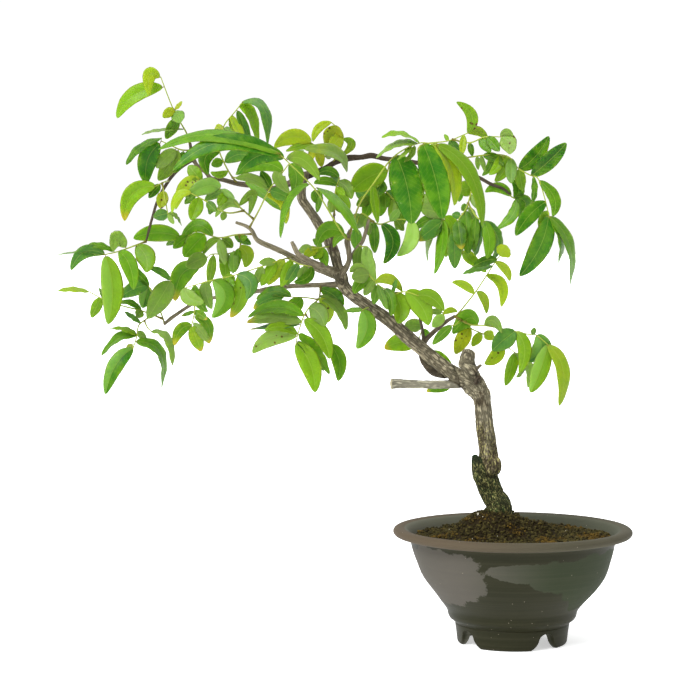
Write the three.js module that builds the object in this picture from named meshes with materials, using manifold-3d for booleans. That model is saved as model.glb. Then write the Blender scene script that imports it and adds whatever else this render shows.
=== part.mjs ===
// A wisteria bonsai in an unglazed clay pot, in millimetres, +Z up, its front facing -Y.
// The pot's axis is X = Y = 0 while it is built; at the end the group is moved so that the
// middle of its bounding box, at ground level, is the origin.
import * as THREE from "three";
import Module from "manifold-3d";

const wasm = await Module();
wasm.setup();
const { Manifold, Mesh } = wasm;

// Gap left between parts that touch on the real plant.
const GAP = 0.3;

// Pot.
const POT_SEGMENTS = 32;
const FOOT_ARCHES = 4;
const FIRST_ARCH_ANGLE = 33.4;
const ARCH_HALF_WIDTH = 17;
const ARCH_HEIGHT = 17;
const DRAIN_RADIUS = 11;
// Outside and inside of the pot as radius and height, from the foot ring up and back down.
const POT_PROFILE = [
  [51, 0], [56, 0], [57.4, 2.2], [59.6, 20], [61.8, 24.5], [66.8, 30],
  [74.6, 42], [85.4, 55], [94, 69], [100, 84], [104.8, 97], [107.8, 109],
  [122.4, 112.8], [125, 116.2], [122.8, 119.6], [118, 121],
  [110, 118.4], [104.6, 110], [98.6, 97], [88.5, 72], [66, 41], [50, 27],
  [DRAIN_RADIUS, 27], [DRAIN_RADIUS, 20], [48, 20],
];

// Soil: it fills the pot, rises to a broad mound where the trunk stands, and has a small heap
// on the right.
const SOIL_LEVEL = 111;
const SOIL_SEGMENTS = 24;
const MOUND_HEIGHT = 28;
const MOUND_SPREAD = 38;
const MOUND_X = -20;
const HEAP_HEIGHT = 13;
const HEAP_SPREAD = 14;
const HEAP_X = 32;
const TRUNK_X = -14;
const PLUG_RADIUS = 13.5;
const PLUG_BOTTOM = 112.3;
const SOIL_SIDE = [
  [0, 27.4], [48.5, 27.4], [65, 41], [87.4, 72], [97.6, 97], [102.6, 108.6],
];
const SOIL_RINGS = [88, 72, 58, 46, 34, 20];

// The plant is laid out in front-view coordinates: x and z as they are seen on the upright
// plane through the pot's axis, and a depth behind that plane along the line of sight. Depths
// near the plane are stretched, so that the crown is as deep as a grown one.
const EYE = new THREE.Vector3(-169.6, -2200, 427);
const DEPTH_STRETCH = 2;
const DEPTH_EASE = 110;

function place(x, z, depth) {
  const behind = (DEPTH_STRETCH * depth) / (1 + Math.abs(depth) / DEPTH_EASE);
  const point = new THREE.Vector3(x, 0, z);
  return point.sub(EYE).multiplyScalar(1 - behind / EYE.y).add(EYE);
}

// Wood, as runs of [x, z, depth, width].
const WOOD = [
  { sides: 10, rough: 0.07, run: [
    [-14, 112.3, 0, 27], [-14, 141, 0, 27], [-21, 153, 0, 23.5], [-25.5, 166, 0, 23],
    [-27, 180, 0, 24], [-26, 193, 0, 21.5], [-27, 206, 0, 20], [-28, 219, 0, 20],
    [-29.5, 232, 0, 18.5], [-31.5, 246, 0, 17], [-34, 259, 0, 19], [-41, 270, 0, 24.5],
    [-52, 276, 0, 20], [-61, 280, 0, 17], [-75, 290, -1, 15], [-90, 303, -2, 14],
    [-110, 319, -3, 13.5], [-130, 337, -4, 13], [-150, 351, -5, 13],
    [-166, 362, -5, 12.5], [-176, 372, -5, 13], [-180, 384, -5, 14] ] },
  { sides: 8, rough: 0.08, run: [
    [-178, 378, -5, 10], [-182, 392, -5, 11], [-186, 405, -3, 11], [-192, 420, 0, 10.5],
    [-203, 438, 3, 9.5], [-213, 452, 5, 9], [-219.5, 462, 6, 10.5], [-218.5, 476, 6, 8.5],
    [-216, 488, 6, 10] ] },
  { sides: 9, rough: 0.1, run: [
    [-27, 160, -2, 14], [-34, 175, -4, 16], [-37.5, 187, -4, 12], [-40, 196, -4, 5] ] },
  { sides: 8, rough: 0.08, run: [
    [-23, 172, -2, 9], [-19.5, 180, -3, 13], [-19, 188, -3, 12], [-23, 196, -1, 7] ] },
  { sides: 9, rough: 0.1, run: [
    [-41, 276, -2, 16], [-47, 291, -4, 15.5], [-47, 302, -5, 14], [-46.5, 306, -5, 9] ] },
  { sides: 8, rough: 0.06, run: [
    [-55, 291, -8, 8], [-50, 290, -10, 11], [-43, 284, -10, 12], [-39, 280, -7, 8] ] },
  { sides: 5, rough: 0, run: [[-42, 280, -4, 5], [-36, 288, -7, 3.4], [-33, 290, -8, 2.8]] },
  { sides: 6, rough: 0, run: [[-38, 272, -6, 6], [-36, 276, -11, 6], [-35, 277, -13, 4]] },
  { sides: 8, rough: 0.04, run: [
    [-50, 272, 0, 12], [-62, 270, 0, 9.5], [-92, 269.5, -1, 8.6], [-117, 270.5, -2, 9.4],
    [-127, 270.5, -2, 11] ] },
  { sides: 5, rough: 0.05, run: [
    [-186, 407, -3, 5], [-188, 416, -8, 4], [-187, 430, -8, 3], [-186, 447, -7, 2] ] },
  { sides: 6, rough: 0.06, run: [
    [-178, 384, -7, 7], [-171, 397, -12, 5.6], [-171, 408, -14, 5.4], [-172.5, 419, -15, 5.6],
    [-169, 430, -17, 4] ] },
  { sides: 5, rough: 0.05, run: [
    [-171, 399, -11, 4.4], [-163, 410, -3, 4], [-156, 420, 3, 4], [-150, 441, 6, 3] ] },
  { sides: 5, rough: 0.06, run: [
    [-181, 386, -5, 8], [-200, 393, -18, 6.6], [-215, 400, -29, 5.6], [-223, 405, -34, 5],
    [-227, 412, -36, 4.6], [-230, 418, -37, 3.4] ] },
  { sides: 5, rough: 0.06, run: [
    [-181, 382, -3, 9], [-205, 391, -1, 7.6], [-225, 400, 0, 6], [-245, 410, -1, 5.4],
    [-261, 417, -2, 5.2], [-267, 421, -3, 4.8], [-271, 429, -4, 4.4], [-277, 434, -6, 4],
    [-288, 438, -8, 3] ] },
  { sides: 5, rough: 0.06, run: [
    [-176, 374, -4, 7], [-200, 373, 6, 5.6], [-225, 372, 10, 5], [-250, 370, 12, 4.8],
    [-270, 366, 12, 4.6], [-284, 365, 12, 4.4], [-310, 360, 12, 4], [-322, 359, 12, 4.8],
    [-334, 353, 12, 3.8], [-346, 345, 12, 3.6], [-356, 338, 12, 4], [-363, 332, 12, 3] ] },
  { sides: 5, rough: 0.06, run: [
    [-216, 486, 6, 9], [-235, 477, 10, 6.6], [-252, 472, 13, 6], [-270, 476, 15, 5.6],
    [-286, 478, 17, 5.2], [-302, 482, 18, 4.6], [-313, 483, 18, 4.8], [-319, 490, 18, 4.4],
    [-328, 497, 18, 4.2], [-333, 508, 18, 3.8], [-335, 520, 18, 3] ] },
  { sides: 5, rough: 0.05, run: [
    [-331, 503, 18, 3.6], [-345, 494, 16, 3.4], [-357, 481, 13, 3.4], [-368, 462, 9, 3],
    [-374, 444, 6, 2.8], [-381, 418, 3, 2.4] ] },
  { sides: 5, rough: 0.06, run: [
    [-216, 486, 6, 9], [-198, 492, 12, 6.6], [-185, 500, 16, 6], [-172, 504, 19, 6.4],
    [-158, 505, 22, 5.4], [-147, 507, 24, 6.2], [-135, 504, 26, 5.2], [-118, 502, 28, 5],
    [-98, 499, 28, 4.6], [-78, 497, 26, 4.4], [-60, 494, 24, 4.4], [-36, 484, 20, 3.8],
    [-25, 478, 18, 3.8], [-12, 473, 16, 3.2], [-4, 467, 14, 2.6] ] },
  { sides: 5, rough: 0.05, run: [
    [-70, 281, 3, 11], [-83, 283, 10, 9], [-93, 293, 15, 6.4], [-95, 303, 17, 6],
    [-92, 314, 17, 5.4], [-83, 324, 14, 5], [-70, 335, 9, 4.6], [-60, 341, 6, 3.6] ] },
  { sides: 5, rough: 0.05, run: [
    [-93, 312, 17, 4], [-95, 330, 12, 3.2], [-100, 345, 2, 2.8], [-110, 355, -7, 2.8],
    [-123, 361, -13, 2.4] ] },
];

// Fronds. Stems are runs of [x, z, depth]; the first stem starts in the wood and each later one
// on an earlier stem. A leaflet is [base x, z, tip x, z, width seen], with the x and z of its
// middle before the tip where it bends, and the tip's depth from the base last where it is set.
const FRONDS = {
  frond_top_left: {
    stems: [[[-335, 519, 18], [-339, 531, 16], [-346, 543, 13], [-354, 559, 10], [-365, 588, 6]]],
    leaves: [
      [-363, 577, -393, 569, -410, 545, 15], [-366, 587, -376, 590, -377, 568, 13],
      [-351, 555, -363, 546, 9], [-350, 554, -343, 563, 4], [-350, 553, -344, 541, 13],
      [-347, 545, -360, 524, 11], [-341, 534, -369, 533, -385, 528, 3],
    ],
  },
  frond_left_shoulder: {
    stems: [[[-334, 512, 18], [-345, 513, 6], [-354, 517, 2], [-365, 522, -2]]],
    leaves: [
      [-364, 525, -387, 515, -401, 497, 7], [-366, 519, -379, 502, -380, 477, 18],
      [-350, 513, -360, 504, -370, 494, 13], [-347, 512, -357, 496, -368, 481, 15],
      [-342, 511, -345, 500, -352, 489, 9],
    ],
  },
  frond_front_left: {
    stems: [[[-170, 420, -16], [-176, 424, -26], [-190, 447, -50], [-205, 471, -70],
      [-221, 488, -84], [-241, 507, -96]]],
    leaves: [
      [-239, 505, -300, 521, -353, 491, 15, -6], [-242, 509, -310, 528, -368, 513, 11, 18],
      [-238, 504, -263, 507, -287, 487, 15, 12], [-234, 503, -217, 502, -201, 481, 13],
      [-212, 477, -233, 460, -241, 421, 7], [-204, 474, -180, 457, -160, 425, 8, -8],
      [-235, 504, -217, 512, 5, 10], [-176, 426, -193, 430, -204, 413, 15, -4],
      [-173, 422, -181, 423, -187, 412, 8, 4],
    ],
  },
  frond_top_centre: {
    stems: [
      [[-286, 478, 17], [-293, 487, 12], [-300, 500, 8], [-305, 515, 6], [-300, 537, 2],
        [-290, 550, 0], [-281, 561, -2]],
      [[-291, 484, 13], [-284, 484, 4], [-277, 481, -2]],
    ],
    leaves: [
      [-281, 562, -259, 556, -255, 517, 10, -8], [-284, 557, -271, 549, -265, 518, 10, 8],
      [-292, 548, -278, 520, 8, -10], [-294, 546, -285, 525, 7, 10], [-286, 553, -272, 522, 8, 2],
      [-301, 537, -309, 532, 8], [-300, 535, -292, 531, 6], [-299, 500, -285, 508, -272, 505, 13, -8],
      [-301, 501, -313, 497, 9], [-304, 511, -319, 505, -316, 487, 13, -6],
      [-277, 481, -239, 449, 9, -10], [-296, 491, -305, 487, -314, 490, 7, 4],
    ],
  },
  frond_top_yellow: {
    stems: [
      [[-188, 498.5, 15], [-182, 509, 13], [-177, 520, 11], [-178, 531, 8], [-189, 541, 4]],
      [[-183, 507, 13], [-196, 512, 8], [-210, 520, 2]],
      [[-182.5, 508, 13], [-176, 500, 4], [-173, 490, -2]],
    ],
    leaves: [
      [-210, 520, -229, 526, -248, 515, 15], [-208, 519, -236, 511, 7, -8],
      [-189, 541, -202, 535, -208, 521, 8], [-184, 538, -188, 526, -195, 517, 18],
      [-178, 528, -190, 513, 13], [-177, 524, -168, 518, -179, 506, 8],
      [-173, 490, -184, 510, -217, 513, 11, -12], [-202, 514, -199, 495, 9],
      [-207, 517, -211, 500, 7], [-190, 510, -193, 503, 8],
    ],
  },
  spray_branch_end: {
    stems: [
      [[-274, 432, -5], [-264, 450, -22], [-253, 472, -34], [-242, 486, -40], [-233, 498, -44]],
      [[-269, 441, -14], [-283, 453, -16], [-295, 466, -15], [-308, 474, -14],
        [-325, 482, -12]],
      [[-279, 450, -15.5], [-298, 448, -22], [-319, 460, -22], [-334, 468, -20]],
    ],
    leaves: [
      [-240, 490, -243, 483, -232, 468, 12], [-233, 497, -225, 486, -229, 468, 14],
      [-252, 471, -231, 462, 12, -10], [-256, 466, -239, 459, -236, 436, 10, 4],
      [-253, 472, -270, 483, -288, 483, 9, -6], [-252, 474, -262, 491, 9],
      [-239, 491, -262, 499, -288, 487, 14, 8], [-325, 482, -341, 475, -350, 451, 11],
      [-304, 473, -319, 475, -340, 463, 15], [-300, 469, -310, 467, -320, 460, 9],
      [-298, 468, -306, 455, 9], [-284, 453, -297, 458, -309, 443, 9],
      [-284, 455, -271, 466, -274, 445, 11], [-303, 472, -289, 462, 6, -8],
      [-318, 459, -308, 449, 8], [-312, 456, -315, 446, 6], [-299, 449, -302, 440, 6],
      [-330, 466, -341, 457, 7], [-325, 463, -334, 440, 13], [-334, 468, -348, 465, -354, 447, 8],
      [-323, 481, -331, 490, -336, 497, 12, 4],
    ],
  },
  spray_left_twig: {
    stems: [
      [[-357, 481, 13], [-363, 479, 0], [-371, 475, -6]],
      [[-364, 478.6, -1], [-361, 462, -7], [-358, 446, -8]],
    ],
    leaves: [
      [-366, 477, -378, 463, 8], [-362, 470, -366, 452, 11, -6],
      [-371, 475, -395, 467, -403, 439, 16], [-358, 447, -373, 443, 11],
      [-358, 446, -352, 436, 5], [-358, 446, -350, 445, -344, 434, 4],
    ],
  },
  frond_far_left: {
    stems: [[[-381, 418, 3], [-395, 413, -5], [-409, 408, -9], [-425, 404, -12]]],
    leaves: [
      [-424, 405, -445, 407, -459, 388, 12], [-425, 404, -450, 408, -474, 403, 3],
      [-414, 408, -428, 414, -442, 414, 6], [-402, 412, -411, 421, -415, 408, 15, -6],
      [-391, 414, -381, 402, -381, 386, 18], [-409, 408, -398, 393, -394, 368, 15, -4],
      [-423, 403, -416, 368, -421, 332, 20],
    ],
  },
  spray_left_end: {
    stems: [
      [[-362, 333, 12], [-368, 350, 13], [-379, 373, 16]],
      [[-364, 338, 12], [-385, 346, 12], [-408, 352, 13], [-425, 358, 14], [-440, 366, 14]],
      [[-374, 342, 12], [-382, 337, 8], [-389, 331, 5], [-391, 320, 3], [-395, 307, 0]],
      [[-371, 357, 13.6], [-362, 371, 4], [-355, 378, 0]],
      [[-383, 336, 7.6], [-380, 329, 2], [-376, 325, 0]],
    ],
    leaves: [
      [-379, 373, -394, 369, -408, 360, 14], [-379, 372, -385, 349, 13, 8],
      [-356, 377, -366, 360, -380, 338, 20, -4], [-378, 372, -393, 387, -407, 392, 9],
      [-440, 366, -457, 369, -473, 367, 5], [-428, 360, -438, 339, 10], [-424, 358, -430, 370, 4],
      [-408, 352, -423, 344, 10], [-386, 346, -397, 355, -409, 354, 6],
      [-387, 334, -404, 345, 5, -8], [-385, 346, -392, 340, 9, -8],
      [-391, 321, -404, 328, -420, 328, 5], [-391, 320, -410, 319, -428, 299, 8, 8],
      [-390, 325, -381, 315, 7], [-395, 307, -413, 290, -424, 259, 15],
      [-392, 314, -366, 303, -366, 265, 9], [-376, 325, -359, 318, -354, 289, 8],
      [-397, 312, -400, 302, 7], [-356, 378, -366, 387, -379, 391, 7],
    ],
  },
  frond_lower_left: {
    stems: [[[-331, 354, 12], [-331, 345, 2], [-334, 331, -4]]],
    leaves: [
      [-334, 331, -346, 326, -352, 310, 11], [-334, 330, -324, 304, 13],
      [-332, 334, -315, 312, 8], [-331, 340, -317, 331, -316, 312, 10, 8],
      [-331, 346, -318, 337, 8], [-331, 345, -345, 341, 4],
    ],
  },
  spray_middle_left: {
    stems: [
      [[-229, 402, 0], [-238, 400, -12], [-262, 392, -18], [-290, 383, -22], [-313, 378, -24],
        [-341, 370, -26]],
      [[-234, 401, -8], [-223, 395, -16], [-209, 392, -18]],
    ],
    leaves: [
      [-341, 370, -336, 360, -321, 355, 14], [-330, 373, -328, 358, -317, 345, 10, 6],
      [-312, 378, -299, 361, -313, 339, 18, -8], [-284, 385, -283, 362, -294, 339, 15, 4],
      [-290, 383, -302, 371, 11, 6], [-287, 384, -273, 376, -277, 358, 14, -10],
      [-319, 377, -319, 364, -313, 348, 12, 10], [-246, 397, -264, 396, 8, -8],
      [-246, 397, -262, 372, 11, -4], [-238, 400, -255, 373, 12, 2], [-230, 399, -241, 371, 11],
      [-223, 395, -236, 373, 10], [-215, 393, -222, 374, 10], [-209, 392, -214, 381, -228, 376, 10, -10],
      [-260, 392, -268, 373, 9, 4], [-296, 382, -292, 366, 9, -4],
    ],
  },
  spray_dense_left: {
    stems: [
      [[-270, 426, -4], [-288, 425, 10], [-305, 422, 16], [-322, 426, 18], [-345, 423, 16]],
      [[-284, 425, 7], [-284, 411, 14], [-298, 405, 15], [-315, 404, 15], [-326, 390, 15]],
    ],
    leaves: [
      [-346, 423, -371, 427, -394, 421, 16], [-337, 424, -353, 411, 10, -6],
      [-312, 424, -329, 435, -346, 417, 12, 10], [-320, 425, -342, 402, 19, -6],
      [-318, 402, -340, 392, 15, -8], [-305, 421, -315, 416, -322, 404, 7],
      [-305, 421, -299, 394, 9, -10], [-290, 408, -291, 385, 10, -8], [-285, 411, -289, 386, 8],
      [-284, 413, -276, 404, -279, 391, 13], [-289, 424, -272, 415, 8], [-300, 405, -298, 377, 11, 4],
      [-311, 404, -316, 373, 9], [-326, 390, -344, 384, -351, 356, 19, 6],
      [-302, 421, -291, 412, 10, 6], [-345, 423, -360, 414, 7, 12], [-286, 418, -276, 424, 6],
      [-296, 406, -305, 396, 9, -6],
    ],
  },
  spray_below_branch: {
    stems: [
      [[-200, 373, 6], [-202, 359, -4], [-210, 352, -8], [-217, 342, -12], [-221, 331, -14],
        [-224, 321, -15], [-226, 312, -16]],
      [[-203, 358, -4.5], [-216, 360, 0], [-238, 361, 2]],
      [[-216, 343, -11.5], [-204, 326, -2], [-190, 311, 4]],
    ],
    leaves: [
      [-217, 337, -199, 321, -191, 296, 16], [-223, 322, -206, 305, -191, 280, 11],
      [-225, 314, -209, 301, -197, 283, 7, 8], [-226, 312, -211, 291, -206, 261, 19, -6],
      [-201, 362, -181, 349, -174, 326, 10], [-212, 350, -202, 344, -196, 330, 17, -8],
      [-202, 359, -192, 348, -193, 334, 10, 8], [-200, 369, -185, 361, -179, 348, 14, -6],
      [-191, 311, -181, 295, -182, 273, 14], [-220, 334, -249, 340, -277, 334, 13],
      [-222, 332, -248, 331, -274, 327, 6, 8], [-224, 322, -242, 330, -258, 325, 9, -6],
      [-225, 320, -251, 318, -271, 302, 15], [-238, 361, -256, 358, -270, 348, 11],
      [-220, 360, -229, 350, -245, 340, 14, 6], [-218, 341, -247, 351, -276, 339, 12, 10],
      [-231, 361, -249, 367, -267, 358, 9, 8],
    ],
  },
  leaf_below_main: {
    stems: [[[-150, 350, -5], [-153, 349, -15], [-157, 347, -18]]],
    leaves: [[-157, 347, -152, 328, -163, 307, 17, 2], [-156, 347, -175, 346, 5]],
  },
  spray_fork: {
    stems: [[[-190, 413, -2], [-198, 412, -14], [-209, 411, -20]]],
    leaves: [
      [-203, 411.5, -218, 402, 9], [-209, 411, -223, 408, 9], [-199, 412, -207, 400, 11, -4],
      [-199, 412, -208, 421, 6], [-198, 412, -197, 402, -193, 393, 10, -4],
    ],
  },
  spray_inner_top: {
    stems: [
      [[-186, 445, -7], [-185.5, 462, -2], [-184, 474, 0], [-180, 484, 0]],
      [[-185.3, 465, -1.5], [-196, 470, -4], [-207, 471, -6]],
    ],
    leaves: [
      [-187, 464, -189, 448, 9], [-181, 483, -191, 477, 11], [-184, 474, -175, 466, 7],
      [-207, 471, -200, 456, 11], [-200, 470, -204, 448, 6, 6], [-186, 455, -174, 447, 6],
      [-181, 484, -192, 491, -204, 487, 9, 6], [-183, 477, -196, 481, -207, 478, 8, -6],
      [-182, 480, -173, 474, -168, 462, 12],
      [-184, 471, -175, 459, -172, 446, 10, 8],
    ],
  },
  frond_front_right: {
    stems: [[[-170, 426, -16.5], [-160, 456, -45], [-146, 477, -62], [-128, 502, -85],
      [-112, 514, -95], [-96, 520, -102], [-80, 518, -106]]],
    leaves: [
      [-122, 507, -110, 473, -106, 436, 29, -6], [-94, 519, -81, 482, -74, 441, 25, -6],
      [-83, 518, -63, 493, -62, 455, 12, 8], [-80, 518, -45, 488, -32, 432, 13, -10],
      [-98, 520, -118, 530, -137, 525, 4], [-100, 519, -122, 519, -143, 504, 6, 10],
      [-146, 476, -141, 437, 8], [-106, 516, -111, 511, -121, 502, 4, -8],
      [-103, 517, -106, 508, -114, 500, 5, 6],
    ],
  },
  spray_back_centre: {
    stems: [
      [[-128, 503, 27], [-131, 490, 38], [-140, 473, 44], [-149, 462, 46]],
      [[-138, 477, 43], [-127, 464, 46], [-114, 453, 48]],
    ],
    leaves: [
      [-131, 491, -151, 484, -168, 470, 24], [-136, 481, -142, 466, 14, -10],
      [-146, 466, -155, 442, 12], [-132, 470, -118, 459, 9], [-127, 464, -115, 446, 10, 10],
      [-124, 462, -127, 440, 9, -8], [-114, 453, -121, 430, 12], [-148, 463, -164, 470, 13, 8],
      [-141, 472, -138, 458, -139, 444, 14, 2], [-133, 468, -133, 452, 10, -4],
      [-148, 463, -163, 455, 10, -8],
    ],
  },
  frond_middle: {
    stems: [
      [[-150, 440, 6], [-138, 436, 14], [-122, 441, 18], [-107, 440, 20]],
      [[-145, 438.3, 9], [-158, 447, 14], [-164, 432, 16]],
    ],
    leaves: [
      [-108, 440, -106, 420, -121, 403, 14], [-137, 436, -125, 418, -135, 395, 14, -4],
      [-145, 438, -144, 406, 10, 6], [-157, 446, -165, 432, 15, 8], [-164, 432, -162, 408, 11],
      [-122, 441, -114, 429, 8, 6], [-128, 439, -117, 452, 8], [-152, 443, -150, 424, 8, -4],
    ],
  },
  frond_middle_right: {
    stems: [[[-63, 494.5, 24], [-68, 470, 26], [-73, 441, 26]]],
    leaves: [
      [-74, 439, -86, 430, -100, 419, 16], [-72, 444, -86, 450, -97, 451, 14],
      [-74, 439, -88, 420, -89, 397, 6, 12], [-73, 440, -75, 412, -82, 384, 11, -6],
      [-73, 441, -66, 418, 6], [-72, 443, -62, 430, -71, 401, 11, 8], [-69, 466, -89, 475, 9],
      [-71, 456, -88, 462, -102, 448, 12, 10], [-73, 441, -90, 440, -104, 430, 10, 14],
      [-67, 478, -57, 470, -57, 459, 8],
    ],
  },
  leaves_below_fork: {
    stems: [[[-160, 414.5, 0], [-158, 413, -7], [-152, 413, -10]]],
    leaves: [
      [-154, 413, -150, 392, -144, 370, 12], [-152, 413, -142, 380, 7, 8],
      [-158, 413, -162, 396, -153, 380, 9],
    ],
  },
  frond_top_right: {
    stems: [
      [[-98, 499, 28], [-97, 517, 24], [-68, 522, 18], [-48, 530, 12]],
      [[-64, 523.5, 17], [-46, 520, 10], [-30, 526, 6], [-13, 526, 4]],
    ],
    leaves: [
      [-48, 530, -44, 548, -60, 562, 11], [-52, 528, -54, 507, 7, -6],
      [-48, 530, -37, 532, -27, 523, 9, 8], [-46, 520, -43, 506, 6], [-36, 524, -24, 510, 9],
      [-28, 526, -15, 511, 10, -6], [-13, 527, -6, 520, -4, 508, 16], [-68, 522, -72, 529, 4],
      [-67, 522, -56, 508, 9, 6], [-80, 520, -88, 508, 7], [-14, 526, -8, 531, -1, 527, 7, -4],
    ],
  },
  frond_right: {
    stems: [[[-58, 493, 23.5], [-52, 503, 16], [-40, 506, 12], [-20, 508, 8], [-5, 505, 4],
      [4, 494, 2], [16, 487, 0], [25, 483, -2], [31, 466, -4], [37, 443, -6]]],
    leaves: [
      [-32, 507, -20, 504, -10, 496, 9, -6], [-38, 506, -37, 492, 5], [-34, 507, -30, 490, 5],
      [-12, 507, -8, 497, 9], [-15, 507, -17, 496, -26, 487, 9], [-7, 506, -10, 492, -20, 480, 11],
      [-3, 504, -3, 478, 11, -8], [5, 493, 22, 506, 36, 527, 15], [18, 486, 38, 503, 54, 520, 15],
      [20, 485, 21, 470, 18, 456, 6], [26, 481, 42, 463, 40, 444, 11],
      [36, 445, 27, 412, 6, 382, 19], [37, 443, 50, 420, 46, 395, 6, 8],
      [37, 444, 59, 413, 58, 371, 9], [33, 459, 16, 445, 2, 424, 15], [35, 450, 26, 432, 9, 8],
      [5, 493, 9, 470, 10, 6], [-24, 508, -24, 497, -33, 486, 8, 6],
    ],
  },
  leaves_right_end: {
    stems: [[[-6, 468.5, 14.5], [-2, 464, 16], [3, 462, 17]]],
    leaves: [[1, 463, 12, 458, 5, 442, 12], [2, 462, -1, 446, -18, 431, 10, -6],
      [-3, 465, -16, 474, -30, 469, 10, 8], [0, 463, 5, 472, -3, 482, 11, 4]],
  },
  spray_hanging: {
    stems: [
      [[-39, 485.5, 20.5], [-44, 470, 9], [-49, 453, 2], [-57, 441, 0], [-61, 430, 0]],
      [[-47.6, 458, 4], [-39, 444, -5], [-31, 439, -7]],
      [[-53, 447, 1], [-51, 426, 8], [-53, 406, 10]],
    ],
    leaves: [
      [-44, 474, -57, 470, 15], [-48, 456, -54, 450, 7], [-58, 440, -54, 410, 14, -8],
      [-61, 430, -61, 390, 14], [-50, 450, -47, 405, 15, -6], [-39, 444, -42, 407, 9],
      [-46, 454, -36, 420, 9, 12], [-33, 440, -40, 403, 7, 10], [-31, 439, -25, 420, -28, 400, 12],
      [-31, 439, -16, 421, -22, 398, 9, 6], [-53, 408, -36, 392, 11, 6],
      [-53, 406, -28, 386, 9, -8], [-45, 467, -38, 452, 6], [-55, 444, -64, 446, 7],
    ],
  },
  frond_right_middle: {
    stems: [[[-61, 340, 6], [-56, 345, 5], [-40, 365, 2], [-28, 383, -3], [-19, 397, -7],
      [-14, 404, -9]]],
    leaves: [
      [-41, 364, -51, 373, -64, 376, 8], [-38, 366, -30, 358, -28, 343, 8],
      [-28, 383, -12, 373, -13, 350, 10], [-19, 397, -8, 389, -4, 377, 8], [-14, 403, -6, 413, 15],
      [-22, 393, -38, 390, -53, 384, 6, -10], [-17, 400, -30, 398, -42, 392, 9, -8],
    ],
  },
  spray_right_low: {
    stems: [
      [[-61, 340.5, 6], [-45, 332, 0], [-30, 331, -4], [-8, 327, -8], [15, 322, -10],
        [24, 321, -12], [36, 311, -14]],
      [[-50, 334.5, 2], [-44, 328, 8], [-33, 323, 10], [-18, 316, 12], [2, 303, 14]],
      [[-54, 336.5, 3.3], [-60, 332, -8], [-64, 331, -10]],
    ],
    leaves: [
      [-37, 332, -48, 338, -63, 322, 18, 10], [-30, 331, -21, 336, -12, 323, 10, -8],
      [2, 325, -22, 305, 18, -4], [3, 325, 12, 306, 6, 281, 13, -6], [20, 321, 22, 329, 5],
      [24, 321, 29, 306, 13, 294, 18, 6], [36, 311, 52, 285, 48, 247, 13],
      [36, 311, 28, 284, 18, 261, 16, -8], [3, 302, 16, 289, 15, 266, 8],
      [1, 303, 10, 288, 3, 277, 4, -8], [-12, 312, -18, 299, -30, 291, 13],
      [2, 303, -2, 286, -8, 268, 11, -4], [-30, 324, -20, 317, 10, -8], [-33, 323, -43, 309, 9],
      [-45, 329, -53, 316, -60, 301, 14, -4], [-64, 331, -84, 311, 9],
    ],
  },
  frond_centre_low: {
    stems: [
      [[-122, 360.5, -13], [-128, 366, -17], [-140, 373, -21], [-150, 384, -24]],
      [[-125, 363.5, -15], [-112, 366, -20], [-99, 362, -22]],
    ],
    leaves: [
      [-112, 366, -96, 352, -88, 331, 19, 6], [-126, 364, -117, 350, -120, 333, 18, -4],
      [-126, 364, -121, 380, 4], [-134, 369, -127, 358, -127, 341, 11, -8],
      [-140, 373, -131, 347, 7, -10], [-143, 376, -128, 379, -115, 366, 10, 10],
      [-145, 378, -155, 362, 9], [-141, 373, -145, 353, 9], [-150, 384, -168, 380, 14, -10],
      [-100, 362, -85, 360, -72, 346, 14, 4], [-149, 382, -160, 374, -165, 364, 11, -4],
      [-150, 384, -161, 391, -170, 386, 9, -6],
    ],
  },
  leaves_on_low_branch: {
    stems: [[[-73, 333, 10], [-72, 341, 3], [-74, 345, 0]]],
    leaves: [[-72, 342, -84, 329, 10, -4], [-73, 343, -65, 347, -58, 345, 6, 6],
      [-74, 345, -88, 345, 6]],
  },
  leaves_behind_main: {
    stems: [
      [[-94, 307, 17], [-99, 311, 26], [-97, 320, 31], [-94, 330, 33]],
      [[-98, 310.5, 24], [-88, 306, 28], [-82, 305, 28]],
    ],
    leaves: [[-94, 330, -113, 331, 13], [-99, 312, -116, 314, -134, 307, 18],
      [-82, 305, -63, 288, 7], [-95, 327, -85, 318, 6]],
  },
  leaf_under_stub: {
    stems: [[[-66, 270, 1], [-66, 267, 9], [-67, 264.5, 10]]],
    leaves: [[-67, 264.5, -79, 266, -90, 262, 9, 2]],
  },
};

const LEAF_GREEN = 0x4d7a2a;
const LEAF_YELLOW = 0x8a9a3c;
const YELLOWING = ["frond_top_yellow", "frond_lower_left"];

// One closed skin through rings of points, with a fan to a point at each end.
// Each ring runs anticlockwise as seen from the far end.
function loft(rings, first, last) {
  const sides = rings[0].length;
  const points = [first, ...rings.flat(), last];
  const end = points.length - 1;
  const index = [];
  for (let j = 0; j < sides; j++) {
    const k = (j + 1) % sides;
    index.push(0, 1 + k, 1 + j);
    for (let i = 0; i < rings.length - 1; i++) {
      const low = 1 + i * sides;
      const high = low + sides;
      index.push(low + j, low + k, high + k);
      index.push(low + j, high + k, high + j);
    }
    index.push(end, end - sides + j, end - sides + k);
  }
  const geometry = new THREE.BufferGeometry().setFromPoints(points);
  geometry.setIndex(index);
  return geometry;
}

function toSolid(geometry) {
  const position = geometry.getAttribute("position").array;
  const mesh = new Mesh({
    numProp: 3,
    vertProperties: new Float32Array(position),
    triVerts: new Uint32Array(geometry.index.array),
  });
  return new Manifold(mesh);
}

// The direction of a run of points at point i.
function tangentAt(points, i) {
  const before = points[Math.max(i - 1, 0)];
  const after = points[Math.min(i + 1, points.length - 1)];
  return after.clone().sub(before).normalize();
}

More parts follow.
